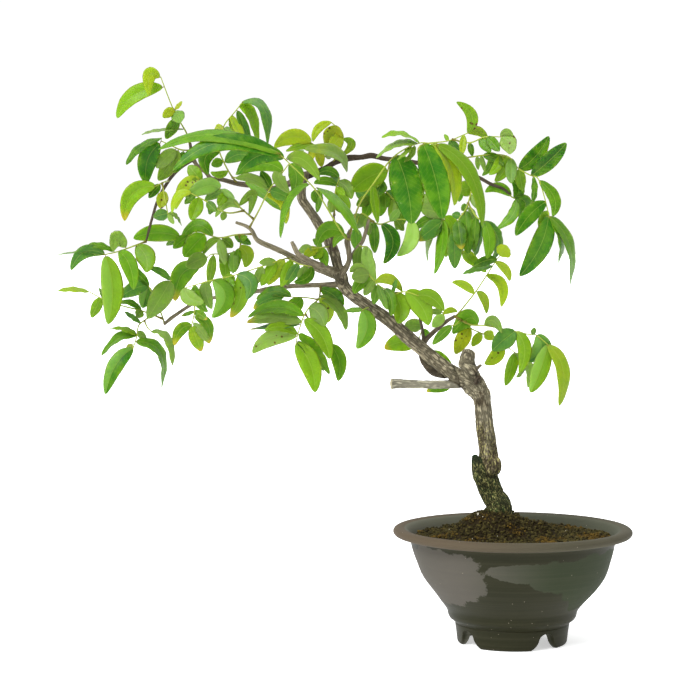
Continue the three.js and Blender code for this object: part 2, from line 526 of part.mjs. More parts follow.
// A round rod through points, with a radius at each; rough makes the section uneven.
function rod(points, radii, sides, rough, roundEnd) {
  const across = new THREE.Vector3(0, -1, 0);
  const rings = points.map((centre, i) => {
    const along = tangentAt(points, i);
    across.addScaledVector(along, -across.dot(along)).normalize();
    const third = new THREE.Vector3().crossVectors(along, across);
    const ring = [];
    for (let j = 0; j < sides; j++) {
      const turn = (2 * Math.PI * j) / sides;
      const uneven = i < 2 ? 0 : rough * Math.sin(3 * turn + 1.7 * i) + rough * Math.cos(2 * turn - i);
      const radius = radii[i] * (1 + uneven);
      ring.push(centre.clone()
        .addScaledVector(across, radius * Math.cos(turn))
        .addScaledVector(third, radius * Math.sin(turn)));
    }
    return ring;
  });
  const n = points.length - 1;
  const tip = points[n].clone().addScaledVector(tangentAt(points, n), roundEnd * radii[n]);
  return toSolid(loft(rings, points[0], tip));
}

// All the wood as one solid; extra thickens every run.
function wood(extra) {
  const rods = WOOD.map(({ sides, rough, run }) => {
    const points = run.map(([x, z, depth]) => place(x, z, depth));
    const radii = run.map((row) => row[3] / 2 + extra);
    return rod(points, radii, sides, rough, 0.45);
  });
  return Manifold.union(rods);
}

// The point of a frond's stems nearest to (x, z) in the front view, with its depth.
function nearestOnStems(stems, x, z) {
  let best = null;
  for (const stem of stems) {
    for (let i = 0; i + 1 < stem.length; i++) {
      const [ax, az, ad] = stem[i];
      const [bx, bz, bd] = stem[i + 1];
      const length = (bx - ax) ** 2 + (bz - az) ** 2;
      const share = ((x - ax) * (bx - ax) + (z - az) * (bz - az)) / length;
      const t = THREE.MathUtils.clamp(share, i === 0 ? 0.3 : 0.02, 0.98);
      const point = [ax + t * (bx - ax), az + t * (bz - az), ad + t * (bd - ad)];
      const away = Math.hypot(point[0] - x, point[1] - z);
      if (!best || away < best.away) best = { away, point };
    }
  }
  return best.point;
}

// How far the tip lies in front of or behind the base, when the table doesn't say:
// a leaflet that looks short for its width is seen end on, so it leans one way or the other.
function leanOf(chord, width, order) {
  const full = Math.max(1.04 * chord, 2.2 * width, 22);
  const lean = Math.min(0.4 * Math.sqrt(full * full - chord * chord), 8);
  return order % 2 ? lean : -lean;
}

// A leaflet: a thin stalk where it stands off the stem, then a blade that is thick along its midrib and thin
// at its edges, in sections of three points: one edge, the midrib, the other edge.
const BLADE_FORM = {
  long: [[0.15, 0.72], [0.42, 1], [0.77, 0.72]],
  short: [[0.24, 0.92], [0.68, 0.86]],
};
const LONG_FROM = 38;
const BLADE_THICKNESS = 1.3;
const STALK_RADIUS = 0.7;
const LONGEST_SESSILE = 2.5;
const NARROWEST = 0.27;
const WIDEST_ROLLED = 17;

function leaflet(row, stems, order) {
  const bent = row.length > 6;
  const [baseX, baseZ] = row;
  const [tipX, tipZ, width, setLean] = row.slice(bent ? 4 : 2);
  const chord = Math.hypot(tipX - baseX, tipZ - baseZ);
  const root = nearestOnStems(stems, baseX, baseZ);
  const lean = setLean === undefined ? leanOf(chord, width, order) : setLean;
  const middleX = bent ? row[2] : (baseX + tipX) / 2;
  const middleZ = bent ? row[3] : (baseZ + tipZ) / 2 + 0.04 * Math.abs(tipX - baseX);
  const middleDepth = root[2] + 0.45 * lean - 0.03 * chord;

  const midline = (t) => {
    const mix = (start, middle, end) => {
      const handle = 2 * middle - 0.5 * (start + end);
      return (1 - t) ** 2 * start + 2 * t * (1 - t) * handle + t * t * end;
    };
    return place(
      mix(baseX, middleX, tipX),
      mix(baseZ, middleZ, tipZ),
      mix(root[2], middleDepth, root[2] + lean),
    );
  };

  const length = midline(0).distanceTo(midline(0.5)) + midline(0.5).distanceTo(midline(1));
  const realWidth = Math.max(width, Math.min(NARROWEST * length, WIDEST_ROLLED));
  const axis = midline(1).sub(midline(0)).normalize();
  const toEye = EYE.clone().sub(midline(0.5)).normalize();
  toEye.addScaledVector(axis, -toEye.dot(axis)).normalize();
  const sideways = new THREE.Vector3().crossVectors(axis, toEye);
  const turn = Math.acos(Math.min(1, width / realWidth)) * (sideways.z >= 0 ? 1 : -1);
  const facing = toEye.multiplyScalar(Math.cos(turn)).addScaledVector(sideways, Math.sin(turn));

  const blade = BLADE_FORM[length > LONG_FROM ? "long" : "short"];
  const gapToStem = Math.hypot(root[0] - baseX, root[1] - baseZ);
  const stations = gapToStem > LONGEST_SESSILE ? [[0.02, 0], ...blade] : blade;
  const rings = stations.map(([t, share]) => {
    const centre = midline(t);
    const along = midline(Math.min(t + 0.02, 1)).sub(midline(t)).normalize();
    const up = facing.clone().addScaledVector(along, -facing.dot(along)).normalize();
    const side = new THREE.Vector3().crossVectors(up, along);
    const half = Math.max(0.5 * realWidth * share, STALK_RADIUS);
    const under = centre.clone().addScaledVector(up, -0.35 * BLADE_THICKNESS);
    return [
      under.clone().addScaledVector(side, half),
      under.clone().addScaledVector(up, BLADE_THICKNESS),
      under.clone().addScaledVector(side, -half),
    ];
  });
  return toSolid(loft(rings, place(...root), midline(1)));
}

// A frond: its stems and all its leaflets in one solid, cut free of the wood it grows from.
function frond({ stems, leaves }, woodAndGap) {
  const rods = stems.map((stem) => {
    const points = stem.map((point) => place(...point));
    const radii = stem.map((point, i) => 1.05 - (0.35 * i) / (stem.length - 1));
    return rod(points, radii, 3, 0, 1);
  });
  const blades = leaves.map((row, order) => leaflet(row, stems, order));
  const whole = Manifold.union([...rods, ...blades]).subtract(woodAndGap);
  return whole.decompose().sort((a, b) => b.volume() - a.volume())[0];
}

// A solid of revolution from a closed outline of [radius, height] pairs.
function turned(outline, segments) {
  const points = [];
  const index = [];
  outline.forEach(([radius, height]) => {
    for (let j = 0; j < segments; j++) {
      const turn = (2 * Math.PI * j) / segments;
      points.push(new THREE.Vector3(radius * Math.cos(turn), radius * Math.sin(turn), height));
    }
  });
  outline.forEach((_, i) => {
    const next = (i + 1) % outline.length;
    for (let j = 0; j < segments; j++) {
      const k = (j + 1) % segments;
      const a = i * segments + j;
      const b = i * segments + k;
      const c = next * segments + k;
      const d = next * segments + j;
      index.push(a, b, c, a, c, d);
    }
  });
  const geometry = new THREE.BufferGeometry().setFromPoints(points);
  geometry.setIndex(index);
  return toSolid(geometry);
}

// A bell-shaped opening through one side of the foot ring.
function footArch(angle) {
  const bell = new THREE.Shape();
  bell.moveTo(-ARCH_HALF_WIDTH - 3, -4);
  bell.lineTo(-ARCH_HALF_WIDTH, 0);
  bell.quadraticCurveTo(-ARCH_HALF_WIDTH * 0.66, 3, -ARCH_HALF_WIDTH * 0.56, 8);
  bell.quadraticCurveTo(-ARCH_HALF_WIDTH * 0.5, ARCH_HEIGHT, 0, ARCH_HEIGHT);
  bell.quadraticCurveTo(ARCH_HALF_WIDTH * 0.5, ARCH_HEIGHT, ARCH_HALF_WIDTH * 0.56, 8);
  bell.quadraticCurveTo(ARCH_HALF_WIDTH * 0.66, 3, ARCH_HALF_WIDTH, 0);
  bell.lineTo(ARCH_HALF_WIDTH + 3, -4);
  const outline = bell.getPoints(3);
  const front = outline.map(({ x, y }) => new THREE.Vector3(x, -90, y));
  const back = outline.map(({ x, y }) => new THREE.Vector3(x, -30, y));
  const middle = (ring) => new THREE.Vector3(0, ring[0].y, 2);
  const geometry = loft([front, back], middle(front), middle(back));
  geometry.rotateZ(THREE.MathUtils.degToRad(angle));
  return toSolid(geometry);
}

function potSolid() {
  const arches = [];
  for (let i = 0; i < FOOT_ARCHES; i++) {
    arches.push(footArch(FIRST_ARCH_ANGLE + (360 / FOOT_ARCHES) * i));
  }
  return turned(POT_PROFILE, POT_SEGMENTS).subtract(Manifold.union(arches));
}

function soilHeight(x, y) {
  const away = Math.hypot(x - MOUND_X, y) / MOUND_SPREAD;
  const toHeap = Math.hypot(x - HEAP_X, y) / HEAP_SPREAD;
  const mound = MOUND_HEIGHT * Math.exp(-(away ** 3)) + HEAP_HEIGHT * Math.exp(-(toHeap ** 2));
  const uneven = 0.9 * Math.sin(x / 13 + 1) * Math.cos(y / 17) + 0.6 * Math.sin((x + 2 * y) / 11);
  return SOIL_LEVEL + mound + uneven;
}

function soilSolid() {
  const circle = (radius, height) => {
    const ring = [];
    for (let j = 0; j < SOIL_SEGMENTS; j++) {
      const turn = (2 * Math.PI * j) / SOIL_SEGMENTS;
      const x = radius * Math.cos(turn);
      const y = radius * Math.sin(turn);
      ring.push(new THREE.Vector3(x, y, height === null ? soilHeight(x, y) : height));
    }
    return ring;
  };
  const mound = (radius) => circle(radius, null).map((point) => {
    const shift = TRUNK_X * Math.max(0, 1 - radius / 60);
    return new THREE.Vector3(point.x + shift, point.y, soilHeight(point.x + shift, point.y));
  });
  const rings = [
    ...SOIL_SIDE.slice(1).map(([radius, height]) => circle(radius, height)),
    ...SOIL_RINGS.map(mound),
  ];
  const bottom = new THREE.Vector3(0, 0, SOIL_SIDE[0][1]);
  const top = new THREE.Vector3(TRUNK_X, 0, SOIL_LEVEL + MOUND_HEIGHT);
  const holeAxis = [PLUG_BOTTOM - GAP, 180].map((z) => new THREE.Vector3(TRUNK_X, 0, z));
  const holeRadius = PLUG_RADIUS + GAP;
  const hole = rod(holeAxis, [holeRadius, holeRadius], 24, 0, 0);
  return toSolid(loft(rings, bottom, top)).subtract(hole);
}

// A solid as a named mesh with a plain material.
function meshOf(name, made, colour, roughness) {
  const data = made.getMesh();
  const geometry = new THREE.BufferGeometry();
  geometry.setAttribute("position", new THREE.BufferAttribute(data.vertProperties, 3));
  geometry.setIndex(new THREE.BufferAttribute(data.triVerts, 1));
  const material = new THREE.MeshStandardMaterial({
    color: colour,
    roughness,
    metalness: 0,
    flatShading: true,
  });
  const mesh = new THREE.Mesh(geometry, material);
  mesh.name = name;
  return mesh;
}

const group = new THREE.Group();
const trunk = wood(0);
const trunkAndGap = wood(GAP);
group.add(meshOf("pot", potSolid(), 0x6b5a4c, 0.85));
group.add(meshOf("soil", soilSolid(), 0x4a382b, 0.95));
group.add(meshOf("trunk", trunk, 0x7b6c5c, 0.9));
for (const [name, growth] of Object.entries(FRONDS)) {
  const colour = YELLOWING.includes(name) ? LEAF_YELLOW : LEAF_GREEN;
  group.add(meshOf(name, frond(growth, trunkAndGap), colour, 0.5));
}

// The origin goes to the middle of the whole object, on the ground.
const box = new THREE.Box3().setFromObject(group);
const middle = box.getCenter(new THREE.Vector3());
group.children.forEach((mesh) => mesh.geometry.translate(-middle.x, -middle.y, -box.min.z));

export default group;
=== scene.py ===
# %% [markdown]
# A wisteria bonsai in a round clay pot, built as a lesson in modelling a plant with numpy.
# The solids of the tree, the soil and the pot are loaded first. They fix where everything is,
# and each finished piece below stands exactly where its plain solid stands.
# We work in millimetres from the pot's axis, because a gardener measures a bonsai that way,
# and turn millimetres into metres only when a mesh is made.

import bpy
import numpy as np
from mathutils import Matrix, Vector


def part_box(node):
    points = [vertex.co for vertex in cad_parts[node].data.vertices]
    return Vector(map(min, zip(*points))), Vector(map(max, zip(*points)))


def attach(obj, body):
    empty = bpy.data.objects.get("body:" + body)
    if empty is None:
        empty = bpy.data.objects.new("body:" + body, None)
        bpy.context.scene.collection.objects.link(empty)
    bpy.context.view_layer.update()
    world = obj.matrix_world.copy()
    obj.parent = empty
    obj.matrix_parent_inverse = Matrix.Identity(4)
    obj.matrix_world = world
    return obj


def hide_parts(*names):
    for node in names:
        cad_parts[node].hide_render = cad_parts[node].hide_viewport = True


MM = 0.001

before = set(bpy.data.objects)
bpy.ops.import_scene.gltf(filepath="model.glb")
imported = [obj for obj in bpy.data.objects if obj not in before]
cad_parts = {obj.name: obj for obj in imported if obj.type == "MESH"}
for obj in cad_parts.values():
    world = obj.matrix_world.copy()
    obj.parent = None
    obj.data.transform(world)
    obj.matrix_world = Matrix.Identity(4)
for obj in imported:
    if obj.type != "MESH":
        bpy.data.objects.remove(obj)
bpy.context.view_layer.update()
pot_low, pot_high = (np.array(corner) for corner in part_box("pot"))
POT_AXIS = (pot_low + pot_high) / 2 * np.array([1, 1, 0])
print("pot axis in metres", POT_AXIS, "rim across", pot_high[0] - pot_low[0])

# %% [markdown]
# The camera is a long lens a little above the crown's middle, looking slightly down on the pot.
# Its height and distance were found from the ellipse of the pot's rim: the flatter it looks,
# the lower the eye. A long lens keeps the near and far leaves at nearly the same scale.
# The picture is square, so the lens follows from its focal length in pixels.

# %% Camera
EYE = np.array([-169.6, -2200.0, 427.0])
LOOK_DOWN_DEGREES = 3.16
FOCAL_PIXELS = 2120.7
PICTURE_PIXELS = 700
SENSOR_MM = 36.0


def add_object(name, data):
    """A new object in the scene, at the origin."""
    thing = bpy.data.objects.new(name, data)
    bpy.context.scene.collection.objects.link(thing)
    return thing


camera_data = bpy.data.cameras.new("camera")
camera_data.sensor_width = SENSOR_MM
camera_data.lens = SENSOR_MM * FOCAL_PIXELS / PICTURE_PIXELS
camera = add_object("camera", camera_data)
camera.location = EYE / 1000 + POT_AXIS
camera.rotation_euler = (np.radians(90 - LOOK_DOWN_DEGREES), 0, 0)
bpy.context.scene.camera = camera
print("lens", round(camera_data.lens, 2), "mm")

# %% [markdown]
# A wide soft light comes from the upper left, and a weaker one from above. Each is a sun lamp
# with a large angle, because a sun lights the whole table evenly, where a lamp close by would
# leave its far end grey. The large angle softens the shadows between the leaves.

# %% Lights
LIGHTS = {
    "key_light": {"place": (-1.5, -1.7, 2.6), "softness_degrees": 40, "strength": 3.9},
    "top_light": {"place": (0.7, 0.4, 2.6), "softness_degrees": 70, "strength": 1.0},
}
AIM = Vector((0.0, 0.0, 0.3))

for name, light in LIGHTS.items():
    light_data = bpy.data.lights.new(name, "SUN")
    light_data.angle = np.radians(light["softness_degrees"])
    light_data.energy = light["strength"]
    lamp = add_object(name, light_data)
    lamp.location = light["place"]
    lamp.rotation_euler = (AIM - lamp.location).to_track_quat("-Z", "Y").to_euler()
print("lights", list(LIGHTS))

# %% [markdown]
# Every piece is a surface worked out with numpy, and most of them are tubes: rings of points
# carried along a path. A trunk is a tube with a rough skin, a leaf stalk is a thin one, and a
# leaflet is a very flat one whose rings are wide in the middle and close to a point at the tip.
# So a few helpers carry most of this lesson: they join rings into faces, put skins together and
# make the object. What a material should know about a point is stored with the skin as a mark.

# %% Mesh helpers
def skin_of(points, quads=(), tris=(), **marks):
    """A skin: its points, its faces of four and of three corners, and three numbers per point."""
    return {
        "points": points,
        "quads": np.reshape(quads, (-1, 4)).astype(int),
        "tris": np.reshape(tris, (-1, 3)).astype(int),
        "marks": marks,
    }


def ring_quads(count, sides, closed=False):
    """Quads from each ring to the next one, and from the last to the first if it is closed.

    The rings run anticlockwise as seen from the far end, so the faces point outwards.
    """
    ring, side = np.meshgrid(np.arange(count if closed else count - 1), np.arange(sides), indexing="ij")
    above = (ring + 1) % count
    after = (side + 1) % sides
    corners = [ring * sides + side, ring * sides + after, above * sides + after, above * sides + side]
    return np.stack(corners, axis=-1)


def tube(rings, first, last, **marks):
    """A closed skin over rings of points (rings, sides, 3), with a fan to a point at each end.

    Each mark is a value for every point: (rings, sides, 3) values, and at the two ends the
    mean of the ring beside it.
    """
    count, sides = rings.shape[:2]
    around = np.arange(sides)
    after = (around + 1) % sides
    last_ring = 1 + (count - 1) * sides
    first_fan = [0 * around, 1 + after, 1 + around]
    last_fan = [0 * around + last_ring + sides, last_ring + around, last_ring + after]
    kept = {
        label: np.vstack([value[0].mean(0), value.reshape(-1, 3), value[-1].mean(0)])
        for label, value in marks.items()
    }
    points = np.vstack([first, rings.reshape(-1, 3), last])
    fans = np.swapaxes([first_fan, last_fan], 1, 2)
    return skin_of(points, 1 + ring_quads(count, sides), fans, **kept)


def joined(skins):
    """Several skins as one, with their corner numbers moved along."""
    starts = np.cumsum([0] + [len(skin["points"]) for skin in skins[:-1]])
    quads, tris = (
        np.vstack([skin[kind] + start for skin, start in zip(skins, starts)]) for kind in ("quads", "tris")
    )
    marks = {label: np.vstack([skin["marks"][label] for skin in skins]) for label in skins[0]["marks"]}
    return skin_of(np.vstack([skin["points"] for skin in skins]), quads, tris, **marks)


def new_mesh(name, skin, scale=1.0, start=0.0):
    """A mesh of a skin, each point at start + scale times its place."""
    mesh = bpy.data.meshes.new(name)
    places = skin["points"] * scale + start
    mesh.from_pydata(places.tolist(), [], skin["quads"].tolist() + skin["tris"].tolist())
    return mesh


def make_object(name, skin, material, smooth=True):
    """Puts a skin, in millimetres from the pot's axis, into a new object at the origin.

    Each mark becomes a vector on the mesh's points, where a material can read it by name.
    """
    mesh = new_mesh(name, skin, MM, POT_AXIS)
    if smooth:
        mesh.shade_smooth()
    for label, values in skin["marks"].items():
        attribute = mesh.attributes.new(label, "FLOAT_VECTOR", "POINT")
        attribute.data.foreach_set("vector", np.asarray(values, np.float32).ravel())
    mesh.materials.append(material)
    piece = add_object(name, mesh)
    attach(piece, "root")
    print(name, len(mesh.vertices), "points", len(mesh.polygons), "faces")
    return piece


# %% [markdown]
# Nature is uneven, so we need an uneven number that depends on a place. Value noise gives one:
# a random number at each corner of a lattice, blended smoothly in between. It is worked out for
# all points at once. Curves that pass through a few chosen points come from a spline formula
# which needs no handles, so a branch is described by the knots that one sees on it. The edge of
# a cut arch and a leaf's midrib are simpler: three points and a quadratic curve between them.

# %% Noise and curves
CORNER_FACTORS = np.array([374761393, 668265263, 974634777])
SEED_FACTOR = 127417
SCRAMBLE_FACTOR = 1274126177
HIGHEST_NUMBER = 0xFFFF


def noise(places, seed=0):
    """Value noise from 0 to 1: lattice corners' random numbers, blended by 3t^2 - 2t^3."""
    cell = np.floor(places).astype(np.int64)
    part = places - cell
    part = part * part * (3 - 2 * part)
    total = np.zeros(len(places))
    for corner in np.ndindex(2, 2, 2):
        number = (cell + corner) @ CORNER_FACTORS + seed * SEED_FACTOR
        number = (number ^ (number >> 13)) * SCRAMBLE_FACTOR
        number = (number ^ (number >> 16)) & HIGHEST_NUMBER
        weight = np.prod(np.where(corner, part, 1 - part), axis=1)
        total += weight * number / HIGHEST_NUMBER
    return total


def spline(rows, steps):
    """A curve through rows: half of 2B + (C-A)t + (2A-5B+4C-D)t^2 + (3B-A-3C+D)t^3."""
    rows = np.asarray(rows, float)
    rows = np.vstack([2 * rows[0] - rows[1], rows, 2 * rows[-1] - rows[-2]])
    t = np.linspace(0, 1, steps, endpoint=False)[None, :, None]
    a, b, c, d = (rows[i : len(rows) - 3 + i, None] for i in range(4))
    curve = 0.5 * (2 * b + (c - a) * t + (2 * a - 5 * b + 4 * c - d) * t**2
                   + (3 * b - a - 3 * c + d) * t**3)
    return np.vstack([curve.reshape(-1, rows.shape[1]), rows[-2]])


def bent_line(start, handle, end, t):
    """A quadratic curve: (1 - t)^2 start + 2t (1 - t) handle + t^2 end, for every t."""
    t = np.asarray(t, float)[:, None]
    return (1 - t) ** 2 * np.array(start) + 2 * t * (1 - t) * np.array(handle) + t**2 * np.array(end)


def unit(vectors):
    """Vectors scaled to length one."""
    return vectors / np.linalg.norm(vectors, axis=-1, keepdims=True)


def angles(count):
    """The angles of so many points round a circle: 2 pi i / count."""
    return np.arange(count) * 2 * np.pi / count


def circle_rings(centres, radii, sides):
    """Round rings square to a path: centre + radius (across cos a + third sin a).

    radii is (rings,) or (rings, sides). Across is the direction to the viewer with its part
    along the path taken out, which never turns round on a plant laid out side to side.
    """
    along = unit(np.gradient(centres, axis=0))
    viewer = np.array([0.0, -1.0, 0.0])
    across = unit(viewer - (along @ viewer)[:, None] * along)
    third = np.cross(along, across)
    angle = angles(sides)[:, None]
    spoke = across[:, None] * np.cos(angle) + third[:, None] * np.sin(angle)
    radii = np.asarray(radii, float).reshape(len(centres), -1, 1)
    return centres[:, None] + radii * spoke, along


# %% [markdown]
# A material is a small network of nodes. These helpers keep each network short to write: one
# adds a node and fills its sockets, the others add the nodes that are used most. A socket knows
# the network it belongs to, so a network is only named where nothing is linked yet.

# %% Material helpers
def add_node(kind, inputs, tree=None, **settings):
    """Adds a node, sets its properties, then fills its inputs: a socket is linked, a value is set."""
    sockets = {key: value for key, value in inputs.items() if isinstance(value, bpy.types.NodeSocket)}
    if tree is None:
        tree = next(iter(sockets.values())).id_data
    node = tree.nodes.new(kind)
    for label, value in settings.items():
        setattr(node, label, value)
    for key, value in inputs.items():
        if key in sockets:
            tree.links.new(value, node.inputs[key])
        else:
            node.inputs[key].default_value = value
    return node


def maths(operation, *values):
    """The result of one Math node."""
    return add_node("ShaderNodeMath", dict(enumerate(values)), operation=operation).outputs[0]


def plus(first, second):
    """The sum of two values."""
    return maths("ADD", first, second)


def times(first, second):
    """The product of two values."""
    return maths("MULTIPLY", first, second)


def step_between(value, low, high, start=0.0, end=1.0):
    """A soft step from start to end as value goes from low to high."""
    inputs = {0: value, 1: low, 2: high, 3: start, 4: end}
    return add_node("ShaderNodeMapRange", inputs, interpolation_type="SMOOTHSTEP").outputs[0]


def rgb(code):
    """Six hexadecimal digits as linear values: ((v + 0.055) / 1.055)^2.4, the darkest v / 12.92."""
    values = np.array([int(code[i : i + 2], 16) / 255 for i in (0, 2, 4)])
    linear = np.where(values <= 0.04045, values / 12.92, ((values + 0.055) / 1.055) ** 2.4)
    return (*linear.tolist(), 1.0)


def mixed(share, first, second):
    """Two colours mixed by a share from 0 to 1. A colour is a socket or six hexadecimal digits."""
    first, second = (rgb(colour) if isinstance(colour, str) else colour for colour in (first, second))
    return add_node("ShaderNodeMix", {0: share, 6: first, 7: second}, data_type="RGBA").outputs[2]


def noise_node(place, scale, detail=3.0, roughness=0.55):
    """A noise texture's value at a place."""
    inputs = {"Vector": place, "Scale": scale, "Detail": detail, "Roughness": roughness}
    return add_node("ShaderNodeTexNoise", inputs).outputs["Fac"]


def stretched_noise(place, sizes, detail, roughness=0.55):
    """A noise texture's value at a place with each of its axes multiplied."""
    place = add_node("ShaderNodeVectorMath", {0: place, 1: sizes}, operation="MULTIPLY").outputs[0]
    return noise_node(place, 1.0, detail, roughness)


def object_place(tree):
    """The place on the piece, in metres, from its own Object coordinates."""
    return add_node("ShaderNodeTexCoord", {}, tree).outputs["Object"]


def mark_of(tree, label):
    """A mark that the mesh carries, as a vector."""
    return add_node("ShaderNodeAttribute", {}, tree, attribute_name=label).outputs["Vector"]


def parts_of(vector):
    """The three numbers of a vector."""
    return tuple(add_node("ShaderNodeSeparateXYZ", {0: vector}).outputs)


def new_material(name, roughness=0.5, shine=0.5):
    """A material, its network and its main shader; shine is its reflection, 0.5 for smooth things."""
    material = bpy.data.materials.new(name)
    material.use_nodes = True
    shader = material.node_tree.nodes["Principled BSDF"]
    shader.inputs["Specular IOR Level"].default_value = shine
    shader.inputs["Roughness"].default_value = roughness
    return material, material.node_tree, shader


def connect(shader, colour, roughness=None, height=None, depth=1.0, reach=0.001):
    """Feeds the shader its colour and roughness, and its height through a Bump node."""
    links = shader.id_data.links
    links.new(colour, shader.inputs["Base Color"])
    if roughness is not None:
        links.new(roughness, shader.inputs["Roughness"])
    if height is not None:
        bump = add_node("ShaderNodeBump", {"Strength": depth, "Distance": reach, "Height": height})
        links.new(bump.outputs[0], shader.inputs["Normal"])


# %% [markdown]
# One effect comes back on clay and on old leaves, so it is a node group of its own: specks, as
# of grit and rust. A cell texture gives each cell a random number, and a speck is drawn only in
# the cells whose number is low enough. It fades out between its size and 0.6 of it.

# %% Groups and specks
def new_group(name, inputs, outputs):
    """A shader node group with named sockets, and its inside ends."""
    group = bpy.data.node_groups.new(name, "ShaderNodeTree")
    for way, sockets in (("INPUT", inputs), ("OUTPUT", outputs)):
        for label, kind in sockets.items():
            group.interface.new_socket(label, in_out=way, socket_type="NodeSocket" + kind)
    return group, group.nodes.new("NodeGroupInput").outputs, group.nodes.new("NodeGroupOutput").inputs


def use_group(group, **inputs):
    """A group's outputs, with its inputs filled."""
    return add_node("ShaderNodeGroup", inputs, node_tree=group).outputs


specks, inside, outside = new_group(
    "Specks", {"Place": "Vector", "Scale": "Float", "Size": "Float", "Share": "Float"}, {"Mask": "Float"}
)
cells = add_node("ShaderNodeTexVoronoi", {"Vector": inside["Place"], "Scale": inside["Scale"]}).outputs
chance = add_node("ShaderNodeSeparateColor", {0: cells["Color"]}).outputs[0]
chosen = maths("LESS_THAN", chance, inside["Share"])
dot = step_between(cells["Distance"], inside["Size"], times(inside["Size"], 0.6))
specks.links.new(times(chosen, dot), outside["Mask"])
print("group", specks.name)

# %% [markdown]
# The stage is a plain white table in a white room, as in a catalogue picture. The backdrop is so
# bright that it reads as pure white. The side that the camera is on is dimmer, or the white
# room's reflection would wash out every colour. The table is a white sheet lit from below as
# well, so that shadows fade out on it: its material glows a little by itself.

# %% White room and table
BACKDROP_STRENGTH = 1.04
CAMERA_SIDE_STRENGTH = 0.38
FADE_FROM = -0.6
FADE_TO = 0.55
TABLE_GLOW = 0.52
TABLE_HALF = 40.0
WHITE = (1.0, 1.0, 1.0, 1.0)

world = bpy.data.worlds.new("white_room")
world.use_nodes = True
room = world.node_tree
backdrop = room.nodes["Background"].inputs
direction = add_node("ShaderNodeTexCoord", {}, room).outputs["Generated"]
strength = step_between(parts_of(direction)[1], FADE_FROM, FADE_TO, CAMERA_SIDE_STRENGTH, BACKDROP_STRENGTH)
backdrop["Color"].default_value = WHITE
room.links.new(strength, backdrop["Strength"])
bpy.context.scene.world = world
bpy.context.scene.view_settings.view_transform = "Standard"

table_material, tree, shader = new_material("white_table", roughness=0.9, shine=0.0)
connect(shader, mixed(noise_node(object_place(tree), 3.0), "f0f1f2", "f3f4f4"))
shader.inputs["Emission Color"].default_value = WHITE
shader.inputs["Emission Strength"].default_value = TABLE_GLOW
table_corners = np.array([[-1, -1, 0], [1, -1, 0], [1, 1, 0], [-1, 1, 0]]) * TABLE_HALF
table_mesh = new_mesh("table_top", skin_of(table_corners, [0, 1, 2, 3]))
table_mesh.materials.append(table_material)
floor = add_object("table_top", table_mesh)
print("table", 2 * TABLE_HALF, "metres wide")

# %% [markdown]
# The pot is thrown on a wheel, so it is one outline turned round an axis: up the outside, over
# the flared lip, down the inside to the drain hole and back along the underside of the foot.
# Where the potter cut the foot ring away, four arches are left. A boolean would cut them, but
# its edges come out ragged, so the ring's lower edge is a formula here: its height depends on
# the angle, and the foot's rings of points are pressed up against it.
# The columns of points crowd together where an arch is steep.

# %% Pot outline and arches
POT_OUTSIDE = [  # radius and height
    [55.4, 0], [56.5, 0.7], [57.2, 2.2], [57.6, 5], [58.4, 12], [59.4, 18.6], [59.5, 20.2], [59.1, 21.2],
    [60.2, 22.2], [62.4, 24], [65.4, 26.4], [67, 29.4], [67.9, 33.4], [69.8, 37.2], [75.4, 43.8],
    [85.2, 55.2], [94, 69], [100, 84], [104.8, 97], [107.2, 107.2], [108.4, 109.2], [113, 110.2],
    [121.6, 112.2], [124.2, 114], [124.9, 116.4], [124, 118.8], [121.6, 120.4], [118, 120.8],
]
POT_INSIDE = [
    [114, 120], [110, 118.2], [107, 114.6], [104.6, 110], [98.6, 97], [88.5, 72], [66, 41], [50, 27.4],
    [48, 27], [30, 27], [12, 27], [11, 26.6], [11, 26], [11, 21], [11, 20.4], [12, 20], [30, 20],
    [47.4, 20], [48, 19.4], [48.4, 17], [49.6, 9], [50.6, 2], [50.8, 0.8], [51.6, 0],
]
OUTLINE_STEPS = 3
FOOT_TOP = 20.0
FOOT_INSIDE = 47.0
FOOT_MIDDLE = 57.0
ARCH_HALF_WIDTH = 17.0
ARCH_HEIGHT = 17.0
ARCH_FLARE = [9.5, 8]
ARCHES = 4
FIRST_ARCH_DEGREES = 33.4
POINTS_PER_CURVE = 7
COLUMNS_PER_FOOT = 34


def arch_edge():
    """Half an arch's edge from its foot to its crown, as distance aside and height.

    Two quadratic curves: out of the ring's bottom with a flare, then up and round to the top.
    """
    t = np.linspace(0, 1, POINTS_PER_CURVE)
    flare = bent_line([ARCH_HALF_WIDTH, 0], [11.2, 3], ARCH_FLARE, t)
    crown = bent_line(ARCH_FLARE, [8.5, ARCH_HEIGHT], [0, ARCH_HEIGHT], t)
    return np.vstack([flare, crown[1:]])


half_arch = arch_edge()
whole_arch = np.vstack([half_arch * [-1, 1], half_arch[-2::-1]])
arch_turn = np.degrees(np.arcsin(whole_arch[:, 0] / FOOT_MIDDLE))
foot_turn = np.linspace(arch_turn[-1], 90 + arch_turn[0], COLUMNS_PER_FOOT + 1, endpoint=False)[1:]
quarter_turns = np.concatenate([arch_turn, foot_turn])
turns_from_right = np.concatenate([quarter_turns + FIRST_ARCH_DEGREES + 90 * i for i in range(ARCHES)])
column_turn = np.radians(turns_from_right - 90)
column_lift = np.tile(np.concatenate([whole_arch[:, 1], 0 * foot_turn]), ARCHES)
print("pot columns", len(column_turn))

# %% [markdown]
# Hand-thrown clay keeps faint rings from the fingers, and the wall is never quite round.
# Both are fractions of a millimetre, so they show only where light grazes the wall. One side
# sagged outwards by a few millimetres before it was fired, and the other was pressed in.
# The dry and the wet patches of the wall are laid out here too: each is an ellipse in angle
# and height, and its distance is stored on the mesh for the clay to read.

